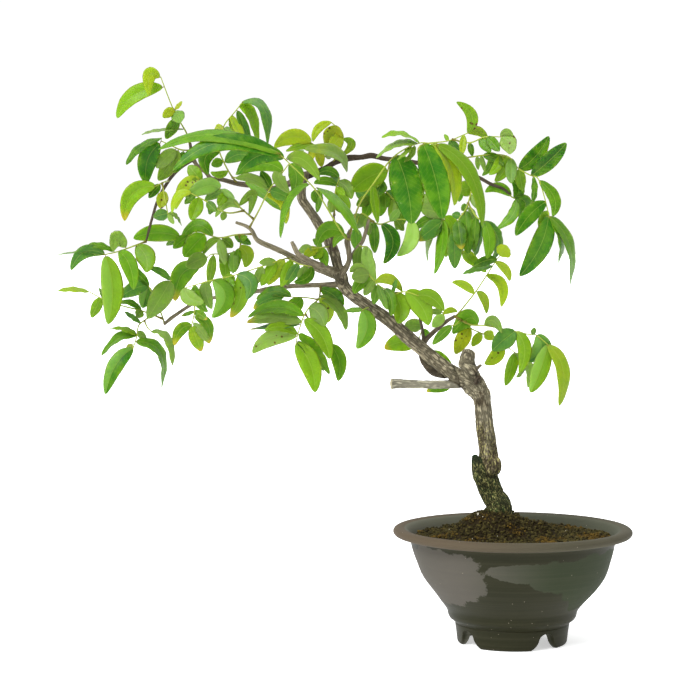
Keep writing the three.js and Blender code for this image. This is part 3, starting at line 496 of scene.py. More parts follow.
# %% Pot surface
RING_MARK_MM = 0.06
OUT_OF_ROUND_MM = 0.35
WALL_STARTS = 62.0
WALL_EASES_IN = 20.0
BULGE_RIGHT = (2.6, 72, 20)  # by how much, at what height and how far up and down, in millimetres
DENT_LEFT = (2.0, 54, 12)
DRY_PATCHES = [  # degrees round from the front, height, half width in degrees, half height
    [-60, 75, 40, 32], [3, 87, 22, 10], [30, 82, 28, 19], [62, 74, 38, 32],
    [172, 62, 44, 24], [118, 52, 30, 16], [-128, 88, 36, 18],
]

outline = spline(POT_OUTSIDE + POT_INSIDE, OUTLINE_STEPS)
on_inside = (np.arange(len(outline)) > OUTLINE_STEPS * len(POT_OUTSIDE))[:, None] + 0 * column_turn
outer_wall = np.array(POT_OUTSIDE[2:6])
inner_wall = np.array(POT_INSIDE[-3:-8:-1])


def swelling(height, aside, by, middle, reach):
    """by aside^2 exp(-((height - middle) / reach)^2), where aside is positive."""
    return by * np.clip(aside, 0, 1) ** 2 * np.exp(-(((height - middle) / reach) ** 2))


def pot_rings():
    """Each outline point at each column: (r cos a, r sin a, z), the foot ring lifted to its arch.

    A foot point at height z goes to lift + z (1 - lift / 20), and moves onto the wall's own slope.
    The wall's radius gains 0.06 sin(1.15 z + 0.8 sin(0.31 z)) from the fingers and loses a part
    of 0.35 (1 + cos(2a + 0.6)) / 2, which makes it oval.
    """
    radius = outline[:, 0][:, None] + 0 * column_turn
    height = outline[:, 1][:, None] + 0 * column_turn
    in_foot = (height < FOOT_TOP) & (radius > FOOT_INSIDE)
    lifted = column_lift + height * (1 - column_lift / FOOT_TOP)
    outer_before, outer_after, inner_before, inner_after = (
        np.interp(level, wall[:, 1], wall[:, 0]) for wall in (outer_wall, inner_wall)
        for level in (height, lifted)
    )
    share = np.clip((radius - inner_before) / (outer_before - inner_before), 0, 1)
    shift = share * (outer_after - outer_before) + (1 - share) * (inner_after - inner_before)
    radius = np.where(in_foot, radius + shift, radius)
    height = np.where(in_foot, lifted, height)
    finger_rings = RING_MARK_MM * np.sin(height * 1.15 + 0.8 * np.sin(height * 0.31))
    on_wall = np.clip((radius - WALL_STARTS) / WALL_EASES_IN, 0, 1)
    oval = OUT_OF_ROUND_MM * (1 + np.cos(2 * column_turn + 0.6)) / 2
    radius = radius + on_wall * (finger_rings - oval)
    to_right = np.cos(column_turn)
    bulge = swelling(height, to_right, *BULGE_RIGHT)
    dent = swelling(height, -to_right, *DENT_LEFT)
    radius = radius + on_wall * (1 - on_inside) * (bulge - dent)
    return np.stack([radius * np.cos(column_turn), radius * np.sin(column_turn), height], axis=-1)


def patch_mark(points):
    """How deep a point lies in a dry patch: 1 at an ellipse's middle, 0 on its edge, less outside."""
    from_front = np.degrees(np.arctan2(points[..., 0], -points[..., 1]))
    depth = np.full(from_front.shape, -1.0)
    for turn, height, half_turn, half_height in DRY_PATCHES:
        aside = (from_front - turn + 180) % 360 - 180
        away = np.hypot(aside / half_turn, (points[..., 2] - height) / half_height)
        depth = np.maximum(depth, 1 - away)
    return depth


rings = pot_rings()
clay_mark = np.stack([patch_mark(rings), on_inside, np.cos(column_turn) + 0 * on_inside], axis=-1)
pot_quads = ring_quads(*rings.shape[:2], closed=True)
pot_skin = skin_of(rings.reshape(-1, 3), pot_quads, clay=clay_mark.reshape(-1, 3))
print("pot height", rings[..., 2].max(), "dry patches", len(DRY_PATCHES))

# %% [markdown]
# Unglazed clay is matte and taupe where it is dry, with a breath of green on the right, and a
# darker olive brown where it is damp. The damp edge is sharp but ragged, so the stored patch
# distance is disturbed by noise before it is cut off. Dry clay scatters light, damp clay has a
# low sheen. The lip is browner from handling, the inner wall is greyer from lime, and grit
# leaves light specks and tiny pits.

# %% Clay
RAGGEDNESS = 1.15
LIP_FROM = 0.1085
LIP_TO = 0.1115
WET_ROUGHNESS = 0.5
DRY_ROUGHNESS = 0.72

clay, tree, shader = new_material("unglazed_clay", shine=0.12)
patch, inner, to_right = parts_of(mark_of(tree, "clay"))
spot = object_place(tree)
height = parts_of(spot)[2]
ragged = noise_node(spot, 26.0, detail=6.0, roughness=0.62)
edge = plus(patch, times(maths("SUBTRACT", ragged, 0.5), RAGGEDNESS))
dry = step_between(edge, -0.015, 0.03)
lip = step_between(height, LIP_FROM, LIP_TO)
dry_or_lip = maths("MAXIMUM", dry, lip)
cloud = noise_node(spot, 14.0, detail=4.0)
to_green = step_between(to_right, -0.7, 0.45)
dry_clay = mixed(to_green, mixed(cloud, "47443d", "55514a"), mixed(cloud, "293020", "313725"))
wall = mixed(dry_or_lip, mixed(cloud, "1c1d0e", "252512"), dry_clay)
wall = mixed(lip, wall, mixed(to_green, "4c4234", mixed(cloud, "3b382a", "474437")))
wall = mixed(inner, wall, mixed(to_green, mixed(cloud, "4d4d3e", "5c5c50"), "434538"))
throwing = stretched_noise(spot, (6.0, 6.0, 420.0), detail=2.0)
wall = mixed(step_between(throwing, 0.35, 0.8, 0.0, 0.07), wall, "66604f")
grit = use_group(specks, Place=spot, Scale=420.0, Size=0.22, Share=0.012)[0]
wall = mixed(times(grit, 0.55), wall, "a39a86")
relief = plus(times(throwing, 0.22), times(noise_node(spot, 900.0, detail=4.0), 0.4))
gloss = step_between(dry_or_lip, 0.0, 1.0, WET_ROUGHNESS, DRY_ROUGHNESS)
connect(shader, wall, roughness=gloss, height=relief, depth=0.35, reach=0.0006)

pot = make_object("thrown_pot", pot_skin, clay)
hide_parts("pot")

# %% [markdown]
# The soil is baked clay grit and bark, heaped up round the trunk. It is a smooth mound with the
# same formula as its solid, and on it lie thousands of separate crumbs, because a bump map
# can't give a crumbly outline against the pale inner wall. Each crumb is a squashed twenty-sided
# lump with its corners pushed about, turned at random from a seeded draw.

# %% Soil mound
SOIL_LEVEL = 111.0
SOIL_RADIUS = 101.6
MOUND_HEIGHT = 28.0
MOUND_SPREAD = 38.0
MOUND_X = -20.0
HEAP_HEIGHT = 13.0
HEAP_SPREAD = 14.0
HEAP_X = 32.0
TRUNK_X = -14.0
SOIL_SIDE = [[20, 27.6], [48.5, 27.6], [65, 41], [87.4, 72], [97.6, 97], [102.6, 108.6]]
SOIL_COLUMNS = 132
SOIL_RINGS = 52
ROUGHNESS_MM = 1.2
ROUGHNESS_SCALE_MM = 3.1


def soil_height(x, y):
    """Level + 28 exp(-(r / 38)^3) round the trunk + 13 exp(-(s / 14)^2) on the right + slow waves."""
    away = np.hypot(x - MOUND_X, y) / MOUND_SPREAD
    to_heap = np.hypot(x - HEAP_X, y) / HEAP_SPREAD
    mound = MOUND_HEIGHT * np.exp(-(away**3)) + HEAP_HEIGHT * np.exp(-(to_heap**2))
    waves = 0.9 * np.sin(x / 13 + 1) * np.cos(y / 17) + 0.6 * np.sin((x + 2 * y) / 11)
    return SOIL_LEVEL + mound + waves


turn = angles(SOIL_COLUMNS)
circle = np.stack([np.cos(turn), np.sin(turn)], axis=-1)
side = spline(SOIL_SIDE, OUTLINE_STEPS)
side_heights = np.tile(side[:, None, 1:], (1, SOIL_COLUMNS, 1))
side_rings = np.concatenate([side[:, None, :1] * circle, side_heights], axis=-1)
top_radius = np.linspace(SOIL_RADIUS, 1.5, SOIL_RINGS)[:, None]
top_x = top_radius * circle[:, 0] + TRUNK_X * np.clip(1 - top_radius / 60, 0, 1)
top_y = top_radius * circle[:, 1]
rough_at = np.stack([top_x, top_y, 0 * top_x], axis=-1).reshape(-1, 3) / ROUGHNESS_SCALE_MM
rough = ROUGHNESS_MM * (noise(rough_at, 5).reshape(top_x.shape) - 0.75)
top_rings = np.stack([top_x, top_y, soil_height(top_x, top_y) + rough], axis=-1)
under = [0, 0, SOIL_SIDE[0][1]]
peak = [TRUNK_X, 0, SOIL_LEVEL + MOUND_HEIGHT - 1]
soil_skin = tube(np.concatenate([side_rings, top_rings]), under, peak)
print("mound from", SOIL_LEVEL, "to", top_rings[..., 2].max())

# %% Soil crumbs
CRUMB_COUNT = 9500
CRUMB_SMALLEST = 0.6
CRUMB_LARGEST = 1.9
CRUMB_REACH = 101.5
BARE_ROUND_TRUNK = 8.0
GOLDEN = (1 + 5**0.5) / 2
FLAT_CORNERS = [[a, b, 0] for b in (GOLDEN, -GOLDEN) for a in (-1, 1)]
LUMP_CORNERS = unit(np.vstack([np.roll(FLAT_CORNERS, turn, axis=1) for turn in range(3)]))
LUMP_POINTS = len(LUMP_CORNERS)
LUMP_FACES = np.array([
    [0, 11, 5], [0, 5, 1], [0, 1, 7], [0, 7, 10], [0, 10, 11], [1, 5, 9], [5, 11, 4], [11, 10, 2],
    [10, 7, 6], [7, 1, 8], [3, 9, 4], [3, 4, 2], [3, 2, 6], [3, 6, 8], [3, 8, 9], [4, 9, 5],
    [2, 4, 11], [6, 2, 10], [8, 6, 7], [9, 8, 1],
])


def random_turns(draw, count):
    """Rotation matrices from random unit quaternions."""
    w, x, y, z = unit(draw.normal(size=(count, 4))).T
    rows = [[1 - 2 * (y * y + z * z), 2 * (x * y - z * w), 2 * (x * z + y * w)],
            [2 * (x * y + z * w), 1 - 2 * (x * x + z * z), 2 * (y * z - x * w)],
            [2 * (x * z - y * w), 2 * (y * z + x * w), 1 - 2 * (x * x + y * y)]]
    return np.array(rows).transpose(2, 0, 1)


def lumps_at(centres, sizes, draw, grain):
    """A lump at each centre: corners scaled per axis and pushed by up to a quarter, then turned."""
    count = len(centres)
    stretch = draw.uniform(0.65, 1.2, (count, 1, 3))
    push = draw.uniform(0.78, 1.22, (count, LUMP_POINTS, 1))
    corners = LUMP_CORNERS * stretch * push * sizes[:, None, None]
    corners = np.einsum("nij,nkj->nki", random_turns(draw, count), corners)
    tris = LUMP_FACES + LUMP_POINTS * np.arange(count)[:, None, None]
    points = (corners + centres[:, None]).reshape(-1, 3)
    return skin_of(points, tris=tris, grain=np.repeat(grain, LUMP_POINTS, axis=0))


draw = np.random.default_rng(11)
radius = CRUMB_REACH * np.sqrt(draw.uniform(0, 1, CRUMB_COUNT))
turn = draw.uniform(0, 2 * np.pi, CRUMB_COUNT)
x = radius * np.cos(turn)
y = radius * np.sin(turn)
size = CRUMB_SMALLEST + (CRUMB_LARGEST - CRUMB_SMALLEST) * draw.uniform(0, 1, CRUMB_COUNT) ** 2.2
to_trunk = np.hypot(x - TRUNK_X, y)
keep = to_trunk > BARE_ROUND_TRUNK
centres = np.stack([x, y, soil_height(x, y) + draw.uniform(-0.2, 0.9, CRUMB_COUNT) * size], axis=-1)
near_moss = np.clip(1.5 - to_trunk / 17, 0, 1) * draw.uniform(0.2, 1, CRUMB_COUNT)
rusty = noise(centres / 16, 3)
grain = np.stack([draw.uniform(0, 1, CRUMB_COUNT), rusty, near_moss], axis=-1)
crumb_skin = lumps_at(centres[keep], size[keep], draw, grain[keep])

# %% [markdown]
# The mound below the crumbs is nearly black: damp soil, darkened further as painted shade for the gaps
# between the crumbs.
# Each crumb has its own brown from its random number. Broad areas turn to orange rust, a few
# grains in a thousand are white pumice, and close to the trunk the crumbs are green with moss.

# %% Soil materials
RUST_FROM = 0.74
PUMICE_ABOVE = 0.994
DUST_SHARE = 0.3

# Painted shade: the mound is nearly black, so that the gaps between the crumbs read as shade.
soil_and_gap_shade, tree, shader = new_material("soil_ground", roughness=0.95, shine=0.1)
spot = object_place(tree)
ground = mixed(noise_node(spot, 300.0), "141007", "2c2312")
connect(shader, ground, height=noise_node(spot, 700.0), depth=0.8, reach=0.001)

soil_crumb, tree, shader = new_material("soil_crumb", roughness=0.9, shine=0.08)
chance, rust, moss = parts_of(mark_of(tree, "grain"))
is_rust = step_between(plus(rust, times(chance, 0.25)), RUST_FROM, 1.0)
colour = mixed(is_rust, mixed(chance, "0e0c06", "4b4422"), mixed(chance, "2f240a", "604a19"))
colour = mixed(step_between(moss, 0.35, 0.5), colour, "18260f")
colour = mixed(maths("GREATER_THAN", chance, PUMICE_ABOVE), colour, "cfc9b4")
dust = noise_node(object_place(tree), 1500.0)
colour = mixed(times(dust, DUST_SHARE), colour, "4c442a")
connect(shader, colour, height=dust, depth=0.6, reach=0.0005)

soil = make_object("soil_mound", soil_skin, soil_and_gap_shade)
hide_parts("soil")
crumbs = make_object("soil_crumbs", crumb_skin, soil_crumb, smooth=False)

# %% [markdown]
# The tree was laid out as one sees it from the front: how far across, how high, and how far
# behind the trunk, all three in millimetres. A point further back must move out along the line
# of sight to stay where it is seen, so place() walks along the ray from the eye. Depths are
# stretched near the trunk and eased far from it, which opens the crown out evenly.
# A run lists a branch's knots with its thickness at each one, from the bottom to the tip.

# %% Layout of the wood
DEPTH_STRETCH = 2
DEPTH_EASE = 110


def place(rows):
    """Eye + ((x, 0, z) - eye) times (1 + behind / 2200), with behind = 2 depth / (1 + |depth| / 110).

    Each row starts with x, z and depth.
    """
    rows = np.asarray(rows, float)
    depth = rows[..., 2]
    behind = DEPTH_STRETCH * depth / (1 + np.abs(depth) / DEPTH_EASE)
    seen = np.stack([rows[..., 0], 0 * depth, rows[..., 1]], axis=-1)
    return EYE + (seen - EYE) * (1 - behind / EYE[1])[..., None]


WOOD = [  # how rough, how dark, and the knots: across, height, depth, thickness
    (0.07, 0.0, [[-14, 112.3, 0, 27], [-14, 141, 0, 27], [-21, 153, 0, 23.5], [-25.5, 166, 0, 23],
        [-27, 180, 0, 24], [-26, 193, 0, 21.5], [-27, 206, 0, 20], [-28, 219, 0, 20], [-29.5, 232, 0, 18.5],
        [-31.5, 246, 0, 17], [-34, 259, 0, 19], [-41, 270, 0, 24.5], [-52, 276, 0, 20], [-61, 280, 0, 17],
        [-75, 290, -1, 15], [-90, 303, -2, 14], [-110, 319, -3, 13.5], [-130, 337, -4, 13],
        [-150, 351, -5, 13], [-166, 362, -5, 12.5], [-176, 372, -5, 13], [-180, 384, -5, 14]]),
    (0.08, 0.25, [[-178, 378, -5, 10], [-182, 392, -5, 11], [-186, 405, -3, 11], [-192, 420, 0, 10.5],
        [-203, 438, 3, 9.5], [-213, 452, 5, 9], [-219.5, 462, 6, 10.5], [-218.5, 476, 6, 8.5],
        [-216, 488, 6, 10]]),
    (0.1, 0.1, [[-27, 160, -2, 14], [-34, 175, -4, 16], [-37.5, 187, -4, 12], [-40, 196, -4, 5]]),
    (0.08, 0.05, [[-23, 172, -2, 9], [-19.5, 180, -3, 13], [-19, 188, -3, 12], [-23, 196, -1, 7]]),
    (0.1, 0.2, [[-41, 276, -2, 16], [-47, 291, -4, 15.5], [-47, 302, -5, 14], [-46.5, 306, -5, 9]]),
    (0.06, 0.1, [[-55, 291, -8, 8], [-50, 290, -10, 11], [-43, 284, -10, 12], [-39, 280, -7, 8]]),
    (0, 0.6, [[-42, 280, -4, 5], [-36, 288, -7, 3.4], [-33, 290, -8, 2.8]]),
    (0, 0.7, [[-38, 272, -6, 6], [-36, 276, -11, 6], [-35, 277, -13, 4]]),
    (0.04, -0.15, [[-50, 272, 0, 12], [-62, 270, 0, 9.5], [-92, 269.5, -1, 8.6], [-117, 270.5, -2, 9.4],
        [-127, 270.5, -2, 11]]),
    (0.05, 0.7, [[-186, 407, -3, 5], [-188, 416, -8, 4], [-187, 430, -8, 3], [-186, 447, -7, 2]]),
    (0.06, 0.45, [[-178, 384, -7, 7], [-171, 397, -12, 5.6], [-171, 408, -14, 5.4], [-172.5, 419, -15, 5.6],
        [-169, 430, -17, 4]]),
    (0.05, 0.45, [[-171, 399, -11, 4.4], [-163, 410, -3, 4], [-156, 420, 3, 4], [-150, 441, 6, 3]]),
    (0.06, 0.3, [[-181, 386, -5, 8], [-200, 393, -18, 6.6], [-215, 400, -29, 5.6], [-223, 405, -34, 5],
        [-227, 412, -36, 4.6], [-230, 418, -37, 3.4]]),
    (0.06, 0.1, [[-181, 382, -3, 9], [-205, 391, -1, 7.6], [-225, 400, 0, 6], [-245, 410, -1, 5.4],
        [-261, 417, -2, 5.2], [-267, 421, -3, 4.8], [-271, 429, -4, 4.4], [-277, 434, -6, 4],
        [-288, 438, -8, 3]]),
    (0.06, 0.35, [[-176, 374, -4, 7], [-200, 373, 6, 5.6], [-225, 372, 10, 5], [-250, 370, 12, 4.8],
        [-270, 366, 12, 4.6], [-284, 365, 12, 4.4], [-310, 360, 12, 4], [-322, 359, 12, 4.8],
        [-334, 353, 12, 3.8], [-346, 345, 12, 3.6], [-356, 338, 12, 4], [-363, 332, 12, 3]]),
    (0.06, 0.55, [[-216, 486, 6, 9], [-235, 477, 10, 6.6], [-252, 472, 13, 6], [-270, 476, 15, 5.6],
        [-286, 478, 17, 5.2], [-302, 482, 18, 4.6], [-313, 483, 18, 4.8], [-319, 490, 18, 4.4],
        [-328, 497, 18, 4.2], [-333, 508, 18, 3.8], [-335, 520, 18, 3]]),
    (0.05, 0.7, [[-331, 503, 18, 3.6], [-345, 494, 16, 3.4], [-357, 481, 13, 3.4], [-368, 462, 9, 3],
        [-374, 444, 6, 2.8], [-381, 418, 3, 2.4]]),
    (0.06, 0.85, [[-216, 486, 6, 9], [-198, 492, 12, 6.6], [-185, 500, 16, 6], [-172, 504, 19, 6.4],
        [-158, 505, 22, 5.4], [-147, 507, 24, 6.2], [-135, 504, 26, 5.2], [-118, 502, 28, 5],
        [-98, 499, 28, 4.6], [-78, 497, 26, 4.4], [-60, 494, 24, 4.4], [-36, 484, 20, 3.8],
        [-25, 478, 18, 3.8], [-12, 473, 16, 3.2], [-4, 467, 14, 2.6]]),
    (0.05, 0.6, [[-70, 281, 3, 11], [-83, 283, 10, 9], [-93, 293, 15, 6.4], [-95, 303, 17, 6],
        [-92, 314, 17, 5.4], [-83, 324, 14, 5], [-70, 335, 9, 4.6], [-60, 341, 6, 3.6]]),
    (0.05, 0.65, [[-93, 312, 17, 4], [-95, 330, 12, 3.2], [-100, 345, 2, 2.8], [-110, 355, -7, 2.8],
        [-123, 361, -13, 2.4]]),
]

# %% [markdown]
# Where branches meet, a real trunk has no seams: the wood grows over the joint in one skin.
# Two tubes pushed into each other would show a hard line there. So all the tubes are joined,
# remeshed as one volume of small cells and smoothed a little, which fills each fork softly.
# The voxel is under a millimetre, a third of the thinnest twig, or twigs would break up.

# %% One skin of wood
VOXEL_MM = 0.72
RELAXING = 3
STEPS_PER_KNOT = 7
WOOD_SIDES = 26
SPARE_MM = 0.12


def run_path(run):
    """A run's smooth centres and radii in millimetres, and each sample's knot number."""
    rows = spline(run, STEPS_PER_KNOT)
    return place(rows), rows[:, 3] / 2, np.arange(len(rows)) / STEPS_PER_KNOT


def wood_tube(rough, run):
    """r (1 + rough sin(3a + 1.7i) + rough cos(2a - i)) round each centre, i the knot number."""
    centres, radii, knot = run_path(run)
    angle = angles(WOOD_SIDES)
    uneven = rough * (np.sin(3 * angle + 1.7 * knot[:, None]) + np.cos(2 * angle - knot[:, None]))
    uneven *= np.clip(knot - 1, 0, 1)[:, None]
    rings, along = circle_rings(centres, (radii[:, None] + SPARE_MM) * (1 + uneven), WOOD_SIDES)
    return tube(rings, centres[0], centres[-1] + 0.3 * radii[-1] * along[-1])


def remeshed(skin):
    """The skin rebuilt as one closed surface of small cells, then relaxed: points, quads, normals."""
    holder = add_object("rough_wood", new_mesh("rough_wood", skin))
    remesh = holder.modifiers.new("one_volume", "REMESH")
    remesh.mode = "VOXEL"
    remesh.voxel_size = VOXEL_MM
    relax = holder.modifiers.new("relax", "SMOOTH")
    relax.factor = 0.5
    relax.iterations = RELAXING
    graph = bpy.context.evaluated_depsgraph_get()
    result = bpy.data.meshes.new_from_object(holder.evaluated_get(graph))
    points = np.empty((len(result.vertices), 3), np.float32)
    normals = np.empty((len(result.vertices), 3), np.float32)
    corners = np.empty(len(result.loops), np.int32)
    result.vertices.foreach_get("co", points.ravel())
    result.vertex_normals.foreach_get("vector", normals.ravel())
    result.loops.foreach_get("vertex_index", corners)
    bpy.data.objects.remove(holder)
    bpy.data.meshes.remove(result)
    return points.astype(float), corners.reshape(-1, 4), normals.astype(float)


tubes = joined([wood_tube(rough, run) for rough, _, run in WOOD])
wood_points, wood_quads, wood_normals = remeshed(tubes)
print("wood", len(wood_points), "points")

# %% [markdown]
# Bark runs along a branch, so its pattern needs the branch's own directions: round it and along
# it. For every point we look for the nearest place on any run, nearest to the run's surface
# and not its centre, or thin twigs would lose to the thick trunk beside them. The place round
# the branch is kept as (r cos a, r sin a), which has no seam where the angle starts again.

# %% Bark directions
CUT_RUN = 8
MOSSY_RUN = 2
CUT_REACH_MM = 1.2
RUN_SPACING_MM = 37.0


def bark_marks(points):
    """For each point: (r cos a, r sin a, way along), and (radius, darkness, mark) of its nearest run.

    The mark is 1 on the sawn end, -1 on the mossy stub and 0 elsewhere.
    """
    nearest = np.full(len(points), np.inf)
    where = np.zeros((len(points), 3))
    state = np.zeros((len(points), 3))
    rows = np.arange(len(points))
    for order, (_, darkness, run) in enumerate(WOOD):
        centres, radii, _ = run_path(run)
        along = unit(np.gradient(centres, axis=0))
        way = np.concatenate([[0], np.cumsum(np.linalg.norm(np.diff(centres, axis=0), axis=1))])
        across = unit(np.array([0, -1.0, 0]) + along[:, 1:2] * along)
        third = np.cross(along, across)
        away = np.stack([points[:, i, None] - centres[None, :, i] for i in range(3)], axis=-1)
        gap = np.linalg.norm(away, axis=-1) - radii
        best = gap.argmin(axis=1)
        least = gap[rows, best]
        spoke = away[rows, best]
        cos_part, sin_part, along_part = (
            (spoke * axis[best]).sum(-1) for axis in (across, third, along)
        )
        r = radii[best]
        reach = np.hypot(cos_part, sin_part) + 1e-6
        way_along = way[best] + along_part
        here = [r * cos_part / reach, r * sin_part / reach, way_along + RUN_SPACING_MM * order]
        cut = (order == CUT_RUN) * (way_along > way[-1] - CUT_REACH_MM) - 1.0 * (order == MOSSY_RUN)
        closer = (least < nearest)[:, None]
        nearest = np.minimum(nearest, least)
        where = np.where(closer, np.stack(here, axis=-1), where)
        state = np.where(closer, np.stack([r, 0 * r + darkness, cut], axis=-1), state)
    return where, state


bark_place, bark_state = bark_marks(wood_points)
print("thickest", 2 * bark_state[:, 0].max(), "mm, thinnest", 2 * bark_state[:, 0].min(), "mm")

# %% [markdown]
# Old wood has deep ridges and twigs have none, so the ridges' depth follows the radius.
# Where the trunk bends, an old joint has healed over in lumps. The folds between them and the
# rings round old scars are drawn as short lines on the front, pressed into the bark and darkened
# with painted shade.

# %% Bark relief
FOLDS = [  # across and height in millimetres, along each dark fold
    [[-53, 303.4], [-50, 304.6], [-46, 302.8], [-44.8, 300.8]],
    [[-54.4, 292.2], [-52.6, 294.2], [-46.5, 293.6], [-41.6, 291.2], [-39.4, 291]],
    [[-51, 287], [-48.4, 282], [-44.8, 279.4], [-40, 280], [-36.6, 284.2]],
    [[-61.4, 290.2], [-59.8, 284.4], [-57.5, 277.6], [-56.6, 269.4], [-55.4, 265.6], [-50.8, 264.8]],
    [[-34.8, 179.4], [-30, 175.4], [-23, 173.2], [-15.5, 174.6], [-10, 178.6]],
]
SCARS = [[-35.8, 274.4, 2.6], [-54.2, 269.2, 2.4], [-178.5, 377, 2.8]]  # across, height, radius
LUMPS = [  # across, height, reach and rise
    [-44.5, 287.5, 4.5, 2.2], [-47, 298.5, 4.5, 1.6], [-56, 297, 4, 1.2], [-53, 273, 5, 1.2],
    [-22, 184, 8, 1.6],
]
FOLD_WIDTH_MM = 1.3
FOLD_DEPTH_MM = 1.5
SMOOTH_TWIG_RADIUS = 3
FRONT_NORMAL = 0.1


def fold_mark(points):
    """1 on a fold or round a scar, falling off as exp(-(distance / 1.3 mm)^2)."""
    away = np.full(len(points), np.inf)
    flat = points[:, [0, 2]]
    for fold in FOLDS:
        rows = np.array(fold, float)
        for start, span in zip(rows, np.diff(rows, axis=0)):
            share = np.clip((flat - start) @ span / (span @ span), 0, 1)[:, None]
            away = np.minimum(away, np.linalg.norm(flat - start - share * span, axis=1))
    for x, z, radius in SCARS:
        away = np.minimum(away, np.abs(np.hypot(flat[:, 0] - x, flat[:, 1] - z) - radius))
    return np.exp(-((away / FOLD_WIDTH_MM) ** 2))


thickness = bark_state[:, 0]
is_cut = np.clip(bark_state[:, 2], 0, 1)
at_front = wood_normals[:, 1] < FRONT_NORMAL
fold = fold_mark(wood_points) * at_front
plates, strips, flakes = (
    noise(bark_place * np.array(sizes), seed)
    for sizes, seed in (((0.62, 0.62, 0.14), 21), ((1.25, 1.25, 0.22), 22), ((1.6, 1.6, 1.1), 23))
)
ridge = 0.9 * np.clip(1 - 3.2 * np.abs(plates - 0.5), 0, 1)
ridge = ridge + 0.6 * np.clip(1 - 3 * np.abs(strips - 0.5), 0, 1)
swell = noise(wood_points / 9.0, 24) - 0.5
depth = np.clip(0.055 * thickness + 0.03, 0.05, 0.62) * (1 - is_cut)
shift = depth * (0.35 - ridge + 0.5 * (flakes - 0.5))
shift = shift + 0.09 * thickness * swell * (thickness > SMOOTH_TWIG_RADIUS) - FOLD_DEPTH_MM * fold
for x, z, reach, rise in LUMPS:
    away = np.hypot(wood_points[:, 0] - x, wood_points[:, 2] - z) / reach
    shift = shift + rise * np.exp(-(away**2)) * at_front
groove_and_fold = np.stack([np.clip(ridge, 0, 1), fold, 0 * fold], axis=-1)
wood_skin = skin_of(wood_points + wood_normals * shift[:, None], wood_quads, bark_place=bark_place,
                    bark_state=bark_state, relief=groove_and_fold)
print("bark moved by", shift.min(), "to", shift.max(), "mm")

# %% [markdown]
# The bark's colour tells its age. At the foot it is dark and green with algae and flecked with
# yellow lichen. Higher up it is a grey brown, and the bend at the top of the trunk is weathered
# to a pale grey. Young twigs are a dark purple brown, and the sawn end of the dead stub shows
# pale wood. Height sets the first three and the run's own darkness the rest. The grooves are
# darkened, partly as the bark's own colour and partly as painted shade, and the folds and scar
# rings are darkened as painted shade.

# %% Bark
ALGAE_TOP = (0.187, 0.199)  # heights in metres, with the waves of a noise taken up in them
FLECKS_TOP = (0.262, 0.292)
MOSS_ON_STUB = (0.186, 0.191)
WEATHERED_FROM = (1.08, 1.32)  # three times the height, plus a noise
BEND_ACROSS = (0.08, 0.13)
TWIG_SHARE = 0.9
GROOVE_SHADE_SHARE = 0.72
FOLD_SHADE_SHARE = 0.88

bark, tree, shader = new_material("weathered_bark", roughness=0.85, shine=0.15)
along_bark = mark_of(tree, "bark_place")
thickness, darkness, special = parts_of(mark_of(tree, "bark_state"))
in_groove, in_fold, _ = parts_of(mark_of(tree, "relief"))
spot = object_place(tree)
to_the_right, _, height = parts_of(spot)
streak = stretched_noise(along_bark, (1.3, 1.3, 0.1), detail=7.0, roughness=0.7)
streak = step_between(streak, 0.32, 0.68)
grain = stretched_noise(along_bark, (2.2, 2.2, 0.5), detail=5.0, roughness=0.65)
crust = stretched_noise(along_bark, (0.7, 0.7, 0.42), detail=4.0, roughness=0.65)
blotch = noise_node(spot, 55.0, detail=4.0)

weathered = step_between(plus(blotch, times(height, 3.0)), *WEATHERED_FROM)
weathered = times(weathered, step_between(to_the_right, *BEND_ACROSS, 0.6, 1.0))
colour = mixed(weathered, mixed(streak, "3a2f22", "84765f"), mixed(streak, "766f58", "c2b99b"))
mossy = step_between(special, -0.2, -0.7)
damp = step_between(plus(height, times(blotch, 0.03)), *ALGAE_TOP, 1.0, 0.0)
colour = mixed(maths("MAXIMUM", damp, mossy), colour, mixed(streak, "15240f", "4a5a2e"))
flecked = step_between(plus(height, times(blotch, 0.09)), *FLECKS_TOP, 1.0, 0.0)
flecked = maths("MAXIMUM", flecked, mossy)
grime = times(step_between(crust, 0.5, 0.42), flecked)
colour = mixed(times(grime, 0.5), colour, "1a1f12")
lichen = times(step_between(crust, 0.5, 0.59), plus(times(flecked, 0.8), 0.05))
colour = mixed(lichen, colour, "a8a266")
moss_top = times(mossy, step_between(height, *MOSS_ON_STUB))
colour = mixed(times(moss_top, 0.85), colour, "142a17")

twig = step_between(darkness, 0.05, 0.85, 0.0, TWIG_SHARE)
colour = mixed(twig, colour, mixed(grain, "1f1712", "4c3e31"))
dead = step_between(darkness, -0.05, -0.12)
colour = mixed(times(dead, 0.8), colour, mixed(grain, "8f8c74", "cac6b0"))
# Painted shade: grooves, folds and scar rings darkened towards near black; in the grooves partly the bark's
# own colour too.
groove_shade = step_between(in_groove, 0.25, 0.95, 0.0, GROOVE_SHADE_SHARE)
groove_shade = times(groove_shade, step_between(thickness, 1.5, 6.0, 0.25, 1.0))
colour = mixed(maths("MAXIMUM", groove_shade, times(in_fold, FOLD_SHADE_SHARE)), colour, "19140b")
colour = mixed(step_between(special, 0.3, 0.7), colour, mixed(grain, "968e74", "b5ad92"))
relief = plus(times(grain, 0.6), times(streak, 0.5))
connect(shader, colour, height=relief, depth=0.7, reach=0.0009)

wood = make_object("trunk_and_branches", wood_skin, bark)
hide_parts("trunk")

# %% [markdown]
# A wisteria leaf is a frond: a thin stalk with pairs of leaflets and one at its end. Each frond
# here lists a letter for each leaflet's tone, its stalks' knots and then its leaflets. The
# letters are explained further down. A leaflet starts on the stalk nearest to it and is given by
# its base, its tip, the width one sees, and if it is set, how far its tip leans back. Some
# leaflets hang in a curve, so they have a middle point between base and tip.

